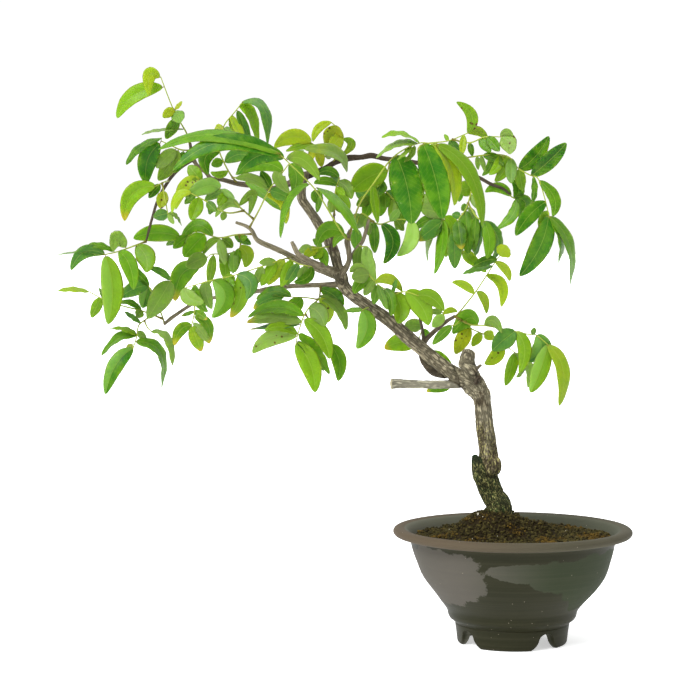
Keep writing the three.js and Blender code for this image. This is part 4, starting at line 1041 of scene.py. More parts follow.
# %% Layout of the fronds
FRONDS = {
    "frond_top_left": ("gbyypml", [
        [[-335, 519, 18], [-339, 531, 16], [-346, 543, 13], [-354, 559, 10], [-365, 588, 6]],
    ], [
        [-363, 577, -393, 569, -410, 545, 15, 3], [-366, 587, -376, 590, -377, 568, 13, -6],
        [-351, 555, -363, 546, 9], [-350, 554, -343, 563, 4], [-350, 553, -344, 541, 13],
        [-347, 545, -360, 524, 11], [-341, 534, -369, 533, -385, 528, 3],
    ]),
    "frond_left_shoulder": ("dvlod", [
        [[-334, 512, 18], [-345, 513, 6], [-354, 517, 2], [-365, 522, -2]],
    ], [
        [-364, 525, -387, 515, -401, 497, 7], [-366, 519, -379, 502, -380, 477, 18],
        [-350, 513, -360, 504, -370, 494, 13], [-347, 512, -357, 496, -368, 481, 15],
        [-342, 511, -345, 500, -352, 489, 9],
    ]),
    "frond_front_left": ("vmvommpmm", [
        [[-170, 420, -16], [-176, 424, -26], [-190, 447, -50], [-205, 471, -70], [-221, 488, -84],
         [-241, 507, -96]],
    ], [
        [-239, 505, -300, 521, -353, 491, 15, -6], [-242, 509, -310, 528, -368, 513, 11, 18],
        [-238, 504, -263, 507, -287, 487, 15, 12], [-234, 503, -217, 502, -201, 481, 13],
        [-212, 477, -233, 460, -241, 421, 7], [-204, 474, -180, 457, -160, 425, 8, -8],
        [-235, 504, -217, 512, 5, 10], [-176, 426, -193, 430, -204, 413, 15, -4],
        [-173, 422, -181, 423, -187, 412, 8, 4],
    ]),
    "frond_top_centre": ("kgbbkypkmdmg", [
        [[-286, 478, 17], [-293, 487, 12], [-300, 500, 8], [-305, 515, 6], [-300, 537, 2], [-290, 550, 0],
         [-281, 561, -2]],
        [[-291, 484, 13], [-284, 484, 4], [-277, 481, -2]],
    ], [
        [-281, 562, -259, 556, -255, 517, 10, -8], [-284, 557, -271, 549, -265, 518, 10, 8],
        [-292, 548, -278, 520, 8, -10], [-294, 546, -285, 525, 7, 10], [-286, 553, -272, 522, 8, 2],
        [-301, 537, -309, 532, 8], [-300, 535, -292, 531, 6], [-299, 500, -285, 508, -272, 505, 13, -8],
        [-301, 501, -313, 497, 9], [-304, 511, -319, 505, -316, 487, 13, -6],
        [-277, 481, -239, 449, 9, -10], [-296, 491, -305, 487, -314, 490, 7, 4],
    ]),
    "frond_top_yellow": ("bgbYbglyyo", [
        [[-188, 498.5, 15], [-182, 509, 13], [-177, 520, 11], [-178, 531, 8], [-189, 541, 4]],
        [[-183, 507, 13], [-196, 512, 8], [-210, 520, 2]],
        [[-182.5, 508, 13], [-176, 500, 4], [-173, 490, -2]],
    ], [
        [-210, 520, -229, 526, -248, 515, 15], [-208, 519, -236, 511, 7, -8],
        [-189, 541, -202, 535, -208, 521, 8], [-184, 538, -188, 526, -195, 517, 18],
        [-178, 528, -190, 513, 13], [-177, 524, -168, 518, -179, 506, 8],
        [-173, 490, -184, 510, -217, 513, 11, -12], [-202, 514, -199, 495, 9], [-207, 517, -211, 500, 7],
        [-190, 510, -193, 503, 8],
    ]),
    "spray_branch_end": ("lmkyldmBppglopddomgbg", [
        [[-274, 432, -5], [-264, 450, -22], [-253, 472, -34], [-242, 486, -40], [-233, 498, -44]],
        [[-269, 441, -14], [-283, 453, -16], [-295, 466, -15], [-308, 474, -14], [-325, 482, -12]],
        [[-279, 450, -15.5], [-298, 448, -22], [-319, 460, -22], [-334, 468, -20]],
    ], [
        [-240, 490, -243, 483, -232, 468, 12], [-233, 497, -225, 486, -229, 468, 14],
        [-252, 471, -231, 462, 12, -10], [-256, 466, -239, 459, -236, 436, 10, 4],
        [-253, 472, -270, 483, -288, 483, 9, -6], [-252, 474, -262, 491, 9],
        [-239, 491, -262, 499, -288, 487, 14, 8], [-325, 482, -341, 475, -350, 451, 11],
        [-304, 473, -319, 475, -340, 463, 15], [-300, 469, -310, 467, -320, 460, 9],
        [-298, 468, -306, 455, 9], [-284, 453, -297, 458, -309, 443, 9],
        [-284, 455, -271, 466, -274, 445, 11], [-303, 472, -289, 462, 6, -8], [-318, 459, -308, 449, 8],
        [-312, 456, -315, 446, 6], [-299, 449, -302, 440, 6], [-330, 466, -341, 457, 7],
        [-325, 463, -334, 440, 13], [-334, 468, -348, 465, -354, 447, 8],
        [-323, 481, -331, 490, -336, 497, 12, 4],
    ]),
    "spray_left_twig": ("dYgkll", [
        [[-357, 481, 13], [-363, 479, 0], [-371, 475, -6]],
        [[-364, 478.6, -1], [-361, 462, -7], [-358, 446, -8]],
    ], [
        [-366, 477, -378, 463, 8], [-362, 470, -366, 452, 11, -6], [-371, 475, -395, 467, -403, 439, 16],
        [-358, 447, -373, 443, 11], [-358, 446, -352, 436, 5], [-358, 446, -350, 445, -344, 434, 4],
    ]),
    "frond_far_left": ("klmlgmg", [
        [[-381, 418, 3], [-395, 413, -5], [-409, 408, -9], [-425, 404, -12]],
    ], [
        [-424, 405, -445, 407, -459, 388, 12], [-425, 404, -450, 408, -474, 403, 3],
        [-414, 408, -428, 414, -442, 414, 6], [-402, 412, -411, 421, -415, 408, 15, -6],
        [-391, 414, -381, 402, -381, 386, 18], [-409, 408, -398, 393, -394, 368, 15, -4],
        [-423, 403, -416, 368, -421, 332, 20],
    ]),
    "spray_left_end": ("kdldbglpdkogmlvmlyk", [
        [[-362, 333, 12], [-368, 350, 13], [-379, 373, 16]],
        [[-364, 338, 12], [-385, 346, 12], [-408, 352, 13], [-425, 358, 14], [-440, 366, 14]],
        [[-374, 342, 12], [-382, 337, 8], [-389, 331, 5], [-391, 320, 3], [-395, 307, 0]],
        [[-371, 357, 13.6], [-362, 371, 4], [-355, 378, 0]],
        [[-383, 336, 7.6], [-380, 329, 2], [-376, 325, 0]],
    ], [
        [-379, 373, -394, 369, -408, 360, 14], [-379, 372, -385, 349, 13, 8],
        [-356, 377, -366, 360, -380, 338, 20, -4], [-378, 372, -393, 387, -407, 392, 9],
        [-440, 366, -457, 369, -473, 367, 5], [-428, 360, -438, 339, 10], [-424, 358, -430, 370, 4],
        [-408, 352, -423, 344, 10], [-386, 346, -397, 355, -409, 354, 6], [-387, 334, -404, 345, 5, -8],
        [-385, 346, -392, 340, 9, -8], [-391, 321, -404, 328, -420, 328, 5],
        [-391, 320, -410, 319, -428, 299, 8, 8], [-390, 325, -381, 315, 7],
        [-395, 307, -413, 290, -424, 259, 15], [-392, 314, -366, 303, -366, 265, 9],
        [-376, 325, -359, 318, -354, 289, 8], [-397, 312, -400, 302, 7],
        [-356, 378, -366, 387, -379, 391, 7],
    ]),
    "frond_lower_left": ("mglmmm", [
        [[-331, 354, 12], [-331, 345, 2], [-334, 331, -4]],
    ], [
        [-334, 331, -346, 326, -352, 310, 11], [-334, 330, -324, 304, 13], [-332, 334, -315, 312, 8],
        [-331, 340, -317, 331, -316, 312, 10, 8], [-331, 346, -318, 337, 8], [-331, 345, -345, 341, 4],
    ]),
    "spray_middle_left": ("lmmGgkllgbgkldlm", [
        [[-229, 402, 0], [-238, 400, -12], [-262, 392, -18], [-290, 383, -22], [-313, 378, -24],
         [-341, 370, -26]],
        [[-234, 401, -8], [-223, 395, -16], [-209, 392, -18]],
    ], [
        [-341, 370, -336, 360, -321, 355, 14], [-330, 373, -328, 358, -317, 345, 10, 6],
        [-312, 378, -299, 361, -313, 339, 18, -8], [-284, 385, -283, 362, -294, 339, 15, 4],
        [-290, 383, -302, 371, 11, 6], [-287, 384, -273, 376, -277, 358, 14, -10],
        [-319, 377, -319, 364, -313, 348, 12, 10], [-246, 397, -264, 396, 8, -8],
        [-246, 397, -262, 372, 11, -4], [-238, 400, -255, 373, 12, 2], [-230, 399, -241, 371, 11],
        [-223, 395, -236, 373, 10], [-215, 393, -222, 374, 10], [-209, 392, -214, 381, -228, 376, 10, -10],
        [-260, 392, -268, 373, 9, 4], [-296, 382, -292, 366, 9, -4],
    ]),
    "spray_dense_left": ("mmmmlolpmbdgomodml", [
        [[-270, 426, -4], [-288, 425, 10], [-305, 422, 16], [-322, 426, 18], [-345, 423, 16]],
        [[-284, 425, 7], [-284, 411, 14], [-298, 405, 15], [-315, 404, 15], [-326, 390, 15]],
    ], [
        [-346, 423, -371, 427, -394, 421, 16], [-337, 424, -353, 411, 10, -6],
        [-312, 424, -329, 435, -346, 417, 12, 10], [-320, 425, -342, 402, 19, -6],
        [-318, 402, -340, 392, 15, -8], [-305, 421, -315, 416, -322, 404, 7],
        [-305, 421, -299, 394, 9, -10], [-290, 408, -291, 385, 10, -8], [-285, 411, -289, 386, 8],
        [-284, 413, -276, 404, -279, 391, 13], [-289, 424, -272, 415, 8], [-300, 405, -298, 377, 11, 4],
        [-311, 404, -316, 373, 9], [-326, 390, -344, 384, -351, 356, 19, 6], [-302, 421, -291, 412, 10, 6],
        [-345, 423, -360, 414, 7, 12], [-286, 418, -276, 424, 6], [-296, 406, -305, 396, 9, -6],
    ]),
    "spray_below_branch": ("GmdGllBdmlkgLkmmd", [
        [[-200, 373, 6], [-202, 359, -4], [-210, 352, -8], [-217, 342, -12], [-221, 331, -14],
         [-224, 321, -15], [-226, 312, -16]],
        [[-203, 358, -4.5], [-216, 360, 0], [-238, 361, 2]],
        [[-216, 343, -11.5], [-204, 326, -2], [-190, 311, 4]],
    ], [
        [-217, 337, -199, 321, -191, 296, 16], [-223, 322, -206, 305, -191, 280, 11],
        [-225, 314, -209, 301, -197, 283, 7, 8], [-226, 312, -211, 291, -206, 261, 19, -6],
        [-201, 362, -181, 349, -174, 326, 10], [-212, 350, -202, 344, -196, 330, 17, -8],
        [-202, 359, -192, 348, -193, 334, 10, 8], [-200, 369, -185, 361, -179, 348, 14, -6],
        [-191, 311, -181, 295, -182, 273, 14], [-220, 334, -249, 340, -277, 334, 13],
        [-222, 332, -248, 331, -274, 327, 6, 8], [-224, 322, -242, 330, -258, 325, 9, -6],
        [-225, 320, -251, 318, -271, 302, 15], [-238, 361, -256, 358, -270, 348, 11],
        [-220, 360, -229, 350, -245, 340, 14, 6], [-218, 341, -247, 351, -276, 339, 12, 10],
        [-231, 361, -249, 367, -267, 358, 9, 8],
    ]),
    "leaf_below_main": ("mm", [
        [[-150, 350, -5], [-153, 349, -15], [-157, 347, -18]],
    ], [
        [-157, 347, -152, 328, -163, 307, 17, 2], [-156, 347, -175, 346, 5],
    ]),
    "spray_fork": ("blgmm", [
        [[-190, 413, -2], [-198, 412, -14], [-209, 411, -20]],
    ], [
        [-203, 411.5, -218, 402, 9], [-209, 411, -223, 408, 9], [-199, 412, -207, 400, 11, -4],
        [-199, 412, -208, 421, 6], [-198, 412, -197, 402, -193, 393, 10, -4],
    ]),
    "spray_inner_top": ("okgmmoddog", [
        [[-186, 445, -7], [-185.5, 462, -2], [-184, 474, 0], [-180, 484, 0]],
        [[-185.3, 465, -1.5], [-196, 470, -4], [-207, 471, -6]],
    ], [
        [-187, 464, -189, 448, 9], [-181, 483, -191, 477, 11], [-184, 474, -175, 466, 7],
        [-207, 471, -200, 456, 11], [-200, 470, -204, 448, 6, 6], [-186, 455, -174, 447, 6],
        [-181, 484, -192, 491, -204, 487, 9, 6], [-183, 477, -196, 481, -207, 478, 8, -6],
        [-182, 480, -173, 474, -168, 462, 12], [-184, 471, -175, 459, -172, 446, 10, 8],
    ]),
    "frond_front_right": ("vvbgglgoo", [
        [[-170, 426, -16.5], [-160, 456, -45], [-146, 477, -62], [-128, 502, -85], [-112, 514, -95],
         [-96, 520, -102], [-80, 518, -106]],
    ], [
        [-122, 507, -110, 473, -106, 436, 29, -6], [-94, 519, -81, 482, -74, 441, 25, -6],
        [-83, 518, -63, 493, -62, 455, 12, 8], [-80, 518, -45, 488, -32, 432, 13, -10],
        [-98, 520, -118, 530, -137, 525, 4], [-100, 519, -122, 519, -143, 504, 6, 10],
        [-146, 476, -141, 437, 8], [-106, 516, -111, 511, -121, 502, 4, -8],
        [-103, 517, -106, 508, -114, 500, 5, 6],
    ]),
    "spray_back_centre": ("gdmkoodkmmo", [
        [[-128, 503, 27], [-131, 490, 38], [-140, 473, 44], [-149, 462, 46]],
        [[-138, 477, 43], [-127, 464, 46], [-114, 453, 48]],
    ], [
        [-131, 491, -151, 484, -168, 470, 24], [-136, 481, -142, 466, 14, -10], [-146, 466, -155, 442, 12],
        [-132, 470, -118, 459, 9], [-127, 464, -115, 446, 10, 10], [-124, 462, -127, 440, 9, -8],
        [-114, 453, -121, 430, 12], [-148, 463, -164, 470, 13, 8], [-141, 472, -138, 458, -139, 444, 14, 2],
        [-133, 468, -133, 452, 10, -4], [-148, 463, -163, 455, 10, -8],
    ]),
    "frond_middle": ("wedlkopl", [
        [[-150, 440, 6], [-138, 436, 14], [-122, 441, 18], [-107, 440, 20]],
        [[-145, 438.3, 9], [-158, 447, 14], [-164, 432, 16]],
    ], [
        [-108, 440, -106, 420, -121, 403, 14], [-137, 436, -125, 418, -135, 395, 14, -4],
        [-145, 438, -144, 406, 10, 6], [-157, 446, -165, 432, 15, 8], [-164, 432, -162, 408, 11],
        [-122, 441, -114, 429, 8, 6], [-128, 439, -117, 452, 8], [-152, 443, -150, 424, 8, -4],
    ]),
    "frond_middle_right": ("kllmmglldm", [
        [[-63, 494.5, 24], [-68, 470, 26], [-73, 441, 26]],
    ], [
        [-74, 439, -86, 430, -100, 419, 16], [-72, 444, -86, 450, -97, 451, 14],
        [-74, 439, -88, 420, -89, 397, 6, 12], [-73, 440, -75, 412, -82, 384, 11, -6],
        [-73, 441, -66, 418, 6], [-72, 443, -62, 430, -71, 401, 11, 8], [-69, 466, -89, 475, 9],
        [-71, 456, -88, 462, -102, 448, 12, 10], [-73, 441, -90, 440, -104, 430, 10, 14],
        [-67, 478, -57, 470, -57, 459, 8],
    ]),
    "leaves_below_fork": ("wwl", [
        [[-160, 414.5, 0], [-158, 413, -7], [-152, 413, -10]],
    ], [
        [-154, 413, -150, 392, -144, 370, 12], [-152, 413, -142, 380, 7, 8],
        [-158, 413, -162, 396, -153, 380, 9],
    ]),
    "frond_top_right": ("GbbdmmLgkgl", [
        [[-98, 499, 28], [-97, 517, 24], [-68, 522, 18], [-48, 530, 12]],
        [[-64, 523.5, 17], [-46, 520, 10], [-30, 526, 6], [-13, 526, 4]],
    ], [
        [-48, 530, -44, 548, -60, 562, 11], [-52, 528, -54, 507, 7, -6],
        [-48, 530, -37, 532, -27, 523, 9, 8], [-46, 520, -43, 506, 6], [-36, 524, -24, 510, 9],
        [-28, 526, -15, 511, 10, -6], [-13, 527, -6, 520, -4, 508, 16], [-68, 522, -72, 529, 4],
        [-67, 522, -56, 508, 9, 6], [-80, 520, -88, 508, 7], [-14, 526, -8, 531, -1, 527, 7, -4],
    ]),
    "frond_right": ("dllyGgpeedmvmmvggm", [
        [[-58, 493, 23.5], [-52, 503, 16], [-40, 506, 12], [-20, 508, 8], [-5, 505, 4], [4, 494, 2],
         [16, 487, 0], [25, 483, -2], [31, 466, -4], [37, 443, -6]],
    ], [
        [-32, 507, -20, 504, -10, 496, 9, -6], [-38, 506, -37, 492, 5], [-34, 507, -30, 490, 5],
        [-12, 507, -8, 497, 9], [-15, 507, -17, 496, -26, 487, 9], [-7, 506, -10, 492, -20, 480, 11],
        [-3, 504, -3, 478, 11, -8], [5, 493, 22, 506, 36, 527, 15], [18, 486, 38, 503, 54, 520, 15],
        [20, 485, 21, 470, 18, 456, 6], [26, 481, 42, 463, 40, 444, 11], [36, 445, 27, 412, 6, 382, 19],
        [37, 443, 50, 420, 46, 395, 6, 8], [37, 444, 59, 413, 58, 371, 9], [33, 459, 16, 445, 2, 424, 15],
        [35, 450, 26, 432, 9, 8], [5, 493, 9, 470, 10, 6], [-24, 508, -24, 497, -33, 486, 8, 6],
    ]),
    "leaves_right_end": ("dmmd", [
        [[-6, 468.5, 14.5], [-2, 464, 16], [3, 462, 17]],
    ], [
        [1, 463, 12, 458, 5, 442, 12], [2, 462, -1, 446, -18, 431, 10, -6],
        [-3, 465, -16, 474, -30, 469, 10, 8], [0, 463, 5, 472, -3, 482, 11, 4],
    ]),
    "spray_hanging": ("gmdkddlkmkBglk", [
        [[-39, 485.5, 20.5], [-44, 470, 9], [-49, 453, 2], [-57, 441, 0], [-61, 430, 0]],
        [[-47.6, 458, 4], [-39, 444, -5], [-31, 439, -7]],
        [[-53, 447, 1], [-51, 426, 8], [-53, 406, 10]],
    ], [
        [-44, 474, -57, 470, 15], [-48, 456, -54, 450, 7], [-58, 440, -54, 410, 14, -8],
        [-61, 430, -61, 390, 14], [-50, 450, -47, 405, 15, -6], [-39, 444, -42, 407, 9],
        [-46, 454, -36, 420, 9, 12], [-33, 440, -40, 403, 7, 10], [-31, 439, -25, 420, -28, 400, 12],
        [-31, 439, -16, 421, -22, 398, 9, 6], [-53, 408, -36, 392, 11, 6], [-53, 406, -28, 386, 9, -8],
        [-45, 467, -38, 452, 6], [-55, 444, -64, 446, 7],
    ]),
    "frond_right_middle": ("bbbbbkd", [
        [[-61, 340, 6], [-56, 345, 5], [-40, 365, 2], [-28, 383, -3], [-19, 397, -7], [-14, 404, -9]],
    ], [
        [-41, 364, -51, 373, -64, 376, 8], [-38, 366, -30, 358, -28, 343, 8],
        [-28, 383, -12, 373, -13, 350, 10], [-19, 397, -8, 389, -4, 377, 8], [-14, 403, -6, 413, 15],
        [-22, 393, -38, 390, -53, 384, 6, -10], [-17, 400, -30, 398, -42, 392, 9, -8],
    ]),
    "spray_right_low": ("mlkgpkbgllBgbbYm", [
        [[-61, 340.5, 6], [-45, 332, 0], [-30, 331, -4], [-8, 327, -8], [15, 322, -10], [24, 321, -12],
         [36, 311, -14]],
        [[-50, 334.5, 2], [-44, 328, 8], [-33, 323, 10], [-18, 316, 12], [2, 303, 14]],
        [[-54, 336.5, 3.3], [-60, 332, -8], [-64, 331, -10]],
    ], [
        [-37, 332, -48, 338, -63, 322, 18, 10], [-30, 331, -21, 336, -12, 323, 10, -8],
        [2, 325, -22, 305, 18, -4], [3, 325, 12, 306, 6, 281, 13, -6], [20, 321, 22, 329, 5],
        [24, 321, 29, 306, 13, 294, 18, 6], [36, 311, 52, 285, 48, 247, 13],
        [36, 311, 28, 284, 18, 261, 16, -8], [3, 302, 16, 289, 15, 266, 8],
        [1, 303, 10, 288, 3, 277, 4, -8], [-12, 312, -18, 299, -30, 291, 13],
        [2, 303, -2, 286, -8, 268, 11, -4], [-30, 324, -20, 317, 10, -8], [-33, 323, -43, 309, 9],
        [-45, 329, -53, 316, -60, 301, 14, -4], [-64, 331, -84, 311, 9],
    ]),
    "frond_centre_low": ("ggkdpblmlgml", [
        [[-122, 360.5, -13], [-128, 366, -17], [-140, 373, -21], [-150, 384, -24]],
        [[-125, 363.5, -15], [-112, 366, -20], [-99, 362, -22]],
    ], [
        [-112, 366, -96, 352, -88, 331, 19, 6], [-126, 364, -117, 350, -120, 333, 18, -4],
        [-126, 364, -121, 380, 4], [-134, 369, -127, 358, -127, 341, 11, -8],
        [-140, 373, -131, 347, 7, -10], [-143, 376, -128, 379, -115, 366, 10, 10],
        [-145, 378, -155, 362, 9], [-141, 373, -145, 353, 9], [-150, 384, -168, 380, 14, -10],
        [-100, 362, -85, 360, -72, 346, 14, 4], [-149, 382, -160, 374, -165, 364, 11, -4],
        [-150, 384, -161, 391, -170, 386, 9, -6],
    ]),
    "leaves_on_low_branch": ("wbl", [
        [[-73, 333, 10], [-72, 341, 3], [-74, 345, 0]],
    ], [
        [-72, 342, -84, 329, 10, -4], [-73, 343, -65, 347, -58, 345, 6, 6], [-74, 345, -88, 345, 6],
    ]),
    "leaves_behind_main": ("lggm", [
        [[-94, 307, 17], [-99, 311, 26], [-97, 320, 31], [-94, 330, 33]],
        [[-98, 310.5, 24], [-88, 306, 28], [-82, 305, 28]],
    ], [
        [-94, 330, -113, 331, 13], [-99, 312, -116, 314, -134, 307, 18], [-82, 305, -63, 288, 7],
        [-95, 327, -85, 318, 6],
    ]),
    "leaf_under_stub": ("m", [
        [[-66, 270, 1], [-66, 267, 9], [-67, 264.5, 10]],
    ], [
        [-67, 264.5, -79, 266, -90, 262, 9, 2],
    ]),
}

# %% [markdown]
# A leaflet that looks narrow is mostly turned edge-on, for on one frond they are nearly alike.
# So each one gets a likely width from its length, and is rolled about its own midrib until it
# looks as narrow as it should. The rest of its form is botany: an outline that is widest a
# little below its middle and drawn out to a tip, a groove along the midrib, halves that arch
# down from it, a waved margin, a little twist, and a short stalk of its own.

# %% Leaflet layout
NARROWEST = 0.27
WIDEST_ROLLED = 17.0
SHORTEST_MM = 22.0
MOST_LEAN_MM = 8.0


def nearest_on_stems(stems, x, z):
    """The nearest point of a frond's stalks to (x, z), as (x, z, depth), kept clear of their ends."""
    found = []
    for stem in stems:
        rows = np.array(stem, float)
        start, span = rows[:-1], np.diff(rows, axis=0)
        share = ((x - start[:, 0]) * span[:, 0] + (z - start[:, 1]) * span[:, 1])
        share = share / (span[:, :2] ** 2).sum(1)
        least = np.where(np.arange(len(span)) == 0, 0.3, 0.02)
        points = start + np.clip(share, least, 0.98)[:, None] * span
        found.append(points)
    points = np.vstack(found)
    return points[np.hypot(points[:, 0] - x, points[:, 1] - z).argmin()]


def lean_of(chord, width, order):
    """How far a tip leans back: it makes up the length that foreshortening took, odd ones forward."""
    full = max(1.04 * chord, 2.2 * width, SHORTEST_MM)
    lean = min(0.4 * np.sqrt(full * full - chord * chord), MOST_LEAN_MM)
    return lean if order % 2 else -lean


def midrib_knots(row, stems, order):
    """A leaflet's base, the handle of its midrib's curve and its tip, as x, z and depth, and its width.

    The curve passes through the middle point m, so its handle is 2m less the mean of the ends.
    """
    base_x, base_z, *middle, tip_x, tip_z, width = row[:7] if len(row) > 6 else row[:5]
    rest = row[7:] if len(row) > 6 else row[5:]
    chord = np.hypot(tip_x - base_x, tip_z - base_z)
    root = nearest_on_stems(stems, base_x, base_z)
    lean = rest[0] if rest else lean_of(chord, width, order)
    if not middle:
        middle = [(base_x + tip_x) / 2, (base_z + tip_z) / 2 + 0.04 * abs(tip_x - base_x)]
    base = np.array([base_x, base_z, root[2]])
    tip = np.array([tip_x, tip_z, root[2] + lean])
    middle = np.array([*middle, root[2] + 0.45 * lean - 0.03 * chord])
    return root, base, 2 * middle - (base + tip) / 2, tip, width


# %% Leaflet shape
BLADE_STATIONS = np.array([
    0.012, 0.035, 0.07, 0.12, 0.18, 0.25, 0.33, 0.41, 0.49, 0.57, 0.65, 0.73, 0.81, 0.88, 0.935, 0.975,
])
TOP_PLACES = [1, 0.8, 0.5, 0.2, 0, -0.2, -0.5, -0.8, -1]
UNDER_PLACES = [-0.8, -0.5, -0.2, 0, 0.2, 0.5, 0.8]
SECTION = np.array(TOP_PLACES + UNDER_PLACES, float)
IS_UNDER = np.array([0] * len(TOP_PLACES) + [1] * len(UNDER_PLACES), float)
STALK_STEPS = 5
STALK_SIDES = 8
STALK_RADIUS_MM = 0.5
STALK_PLACES = np.array([0.0, 0.55, 1.0])
STALK_SWELL = np.array([1.25, 0.9, 1.0])


def blade_lift(u, half, draw):
    """Height of a blade over its midline at each station u and each place v of the section.

    Arch: 0.85 (1 - |v|^1.7) - 0.3 exp(-(v / 0.15)^2) - 0.45. To it come a fold along the midrib, a
    wave of the margin as v^2 sin(2 pi (turns u)), and the blade's thickness on the underside.
    """
    v = SECTION[None, :]
    arch = 0.85 * (1 - np.abs(v) ** 1.7) - 0.3 * np.exp(-((v / 0.15) ** 2)) - 0.45
    full = np.clip(half[:, None] / 4, 0.25, 1)
    fold = draw.uniform(-0.34, 0.06) * (1 - np.abs(v)) * half[:, None] * full
    wave_size = draw.uniform(0.25, 0.8)
    turns = draw.uniform(2.2, 4.2)
    wave_turn = turns * u[:, None] + 0.31 * np.sign(v) + draw.uniform()
    wave = wave_size * np.abs(v) ** 2 * np.sin(2 * np.pi * wave_turn)
    rib = 0.45 * np.exp(-((v / 0.1) ** 2)) * (1 - u[:, None])
    thick = (0.3 * np.sqrt(1 - v**2) + rib) * IS_UNDER
    return full * (arch + wave) + fold - thick - fold.mean()


def leaflet(row, stems, order, tint, draw):
    """One leaflet's skin: rings of sixteen points along a curved midrib, after its round stalk.

    Half width at u: 0.575 w sin(pi u^0.85)^0.6. Roll: acos(seen width / real width).
    """
    root, base, handle, tip, width = midrib_knots(row, stems, order)
    low, mid, high = place(bent_line(base, handle, tip, [0.0, 0.5, 1.0]))
    length = np.linalg.norm(mid - low) + np.linalg.norm(high - mid)
    real_width = max(width, min(NARROWEST * length, WIDEST_ROLLED))
    axis = unit(high - low)
    to_eye = unit(EYE - mid)
    to_eye = unit(to_eye - axis * (axis @ to_eye))
    sideways = np.cross(axis, to_eye)
    roll = np.arccos(min(1, width / real_width)) * (1 if sideways[2] >= 0 else -1)

    u = BLADE_STATIONS
    centre = place(bent_line(base, handle, tip, u))
    along = unit(np.gradient(centre, axis=0))
    turn = (roll + draw.uniform(-0.3, 0.3) * (u - 0.35))[:, None]
    facing = np.cos(turn) * to_eye + np.sin(turn) * sideways
    up = unit(facing - along * (facing * along).sum(1, keepdims=True))
    side = np.cross(up, along)
    half = 0.575 * real_width * np.sin(np.pi * u**0.85) ** 0.6
    half = np.maximum(half, STALK_RADIUS_MM * np.clip(3 - 3 * u, 0.25, 1))
    lift = blade_lift(u, half, draw)
    blade = centre[:, None] + side[:, None] * (half[:, None] * SECTION)[..., None]
    blade = blade + up[:, None] * lift[..., None]

    start = place(root)
    stalk_centre = start + STALK_PLACES[:, None] * (low - start)
    radius = (STALK_SWELL * STALK_RADIUS_MM)[:, None]
    angle = angles(len(SECTION))
    stalk = (stalk_centre[:, None] + side[0] * (radius * np.cos(angle))[..., None]
             + up[0] * (radius * np.sin(angle))[..., None])
    rings = np.concatenate([stalk, blade])
    flat = np.ones(rings.shape[:2])
    on_blade, half_width, stalkness = (
        np.concatenate([[value] * 3, values])[:, None] * flat
        for value, values in ((0.0, u), (STALK_RADIUS_MM, half), (1.0, np.clip(1 - u / 0.03, 0, 1)))
    )
    yellow_tip, state, tone = tint
    return tube(
        rings, start, high,
        blade=np.stack([on_blade, SECTION * flat, IS_UNDER * flat], axis=-1),
        size=np.stack([length * flat, half_width, stalkness], axis=-1),
        leaf=np.stack([yellow_tip * flat, state * flat, draw.uniform() * flat], axis=-1),
        tone=flat[..., None] * tone,
    )


def frond_stalk(stem, tone, draw):
    """A stalk as a thin tube, thicker at its foot: radius 0.95 - 0.42 s + 0.6 exp(-(s / 0.05)^2)."""
    rows = spline(stem, STALK_STEPS)
    share = np.linspace(0, 1, len(rows))
    radii = 0.95 - 0.42 * share + 0.6 * np.exp(-((share / 0.05) ** 2))
    rings, along = circle_rings(place(rows), radii, STALK_SIDES)
    centre = rings.mean(axis=1)
    flat = np.ones(rings.shape[:2])
    zero = 0 * flat
    return tube(
        rings, centre[0] - 0.8 * along[0], centre[-1] + radii[-1] * along[-1],
        blade=np.stack([share[:, None] * flat, zero, zero], axis=-1),
        size=np.stack([zero + 40, zero + 0.8, flat], axis=-1),
        leaf=np.stack([zero, zero, zero + draw.uniform()], axis=-1),
        tone=flat[..., None] * tone,
    )


# %% [markdown]
# Leaves on one tree differ: new ones are yellow-green, old ones dark, and those that turn their
# backs look pale and bluish. So each leaflet carries a letter for its tone, given in the order in
# which the leaflets are listed. A capital letter adds brown spots.
# On a few folded leaflets the upper half has a painted sheen: it is paler, as if it caught the
# sky's reflection. Some have begun to yellow from the tip. These two are listed by the leaflet's number.

# %% Tones
TONE_COLOURS = {
    "m": "4c7510", "g": "668810", "b": "8a9c1a", "y": "929716", "w": "85a64e", "l": "6c843c",
    "p": "61823a", "k": "406b2b", "d": "305609", "o": "5d7422", "v": "255902", "e": "1b4102",
}
TONES = {letter: np.array(rgb(code)[:3]) for letter, code in TONE_COLOURS.items()}
STALK_TONE = "m"
# Leaflets whose one half gets a painted sheen, by number.
PAINTED_SHEEN_HALVES = {
    "frond_far_left": [6], "spray_left_end": [1, 14], "spray_middle_left": [2],
    "spray_below_branch": [0, 3], "leaf_below_main": [0], "spray_right_low": [5, 7],
}
YELLOW_TIPS = {
    "frond_lower_left": range(6), "spray_left_twig": [2], "spray_dense_left": [13],
    "spray_below_branch": [9, 10, 13], "leaves_behind_main": [1], "leaf_under_stub": [0],
    "spray_middle_left": [3, 4], "frond_middle_right": [0], "spray_hanging": [2],
}
YELLOWING = ["frond_top_yellow", "frond_lower_left"]


def tint_of(name, order):
    """A leaflet's yellow tip (1 or 0), its state (1 spotted, -1 painted sheen on one half, else 0) and its
    tone.
    """
    letter = FRONDS[name][0][order]
    state = float(letter.isupper()) - float(order in PAINTED_SHEEN_HALVES.get(name, []))
    return float(order in YELLOW_TIPS.get(name, [])), state, TONES[letter.lower()]


print(len(TONES), "tones")
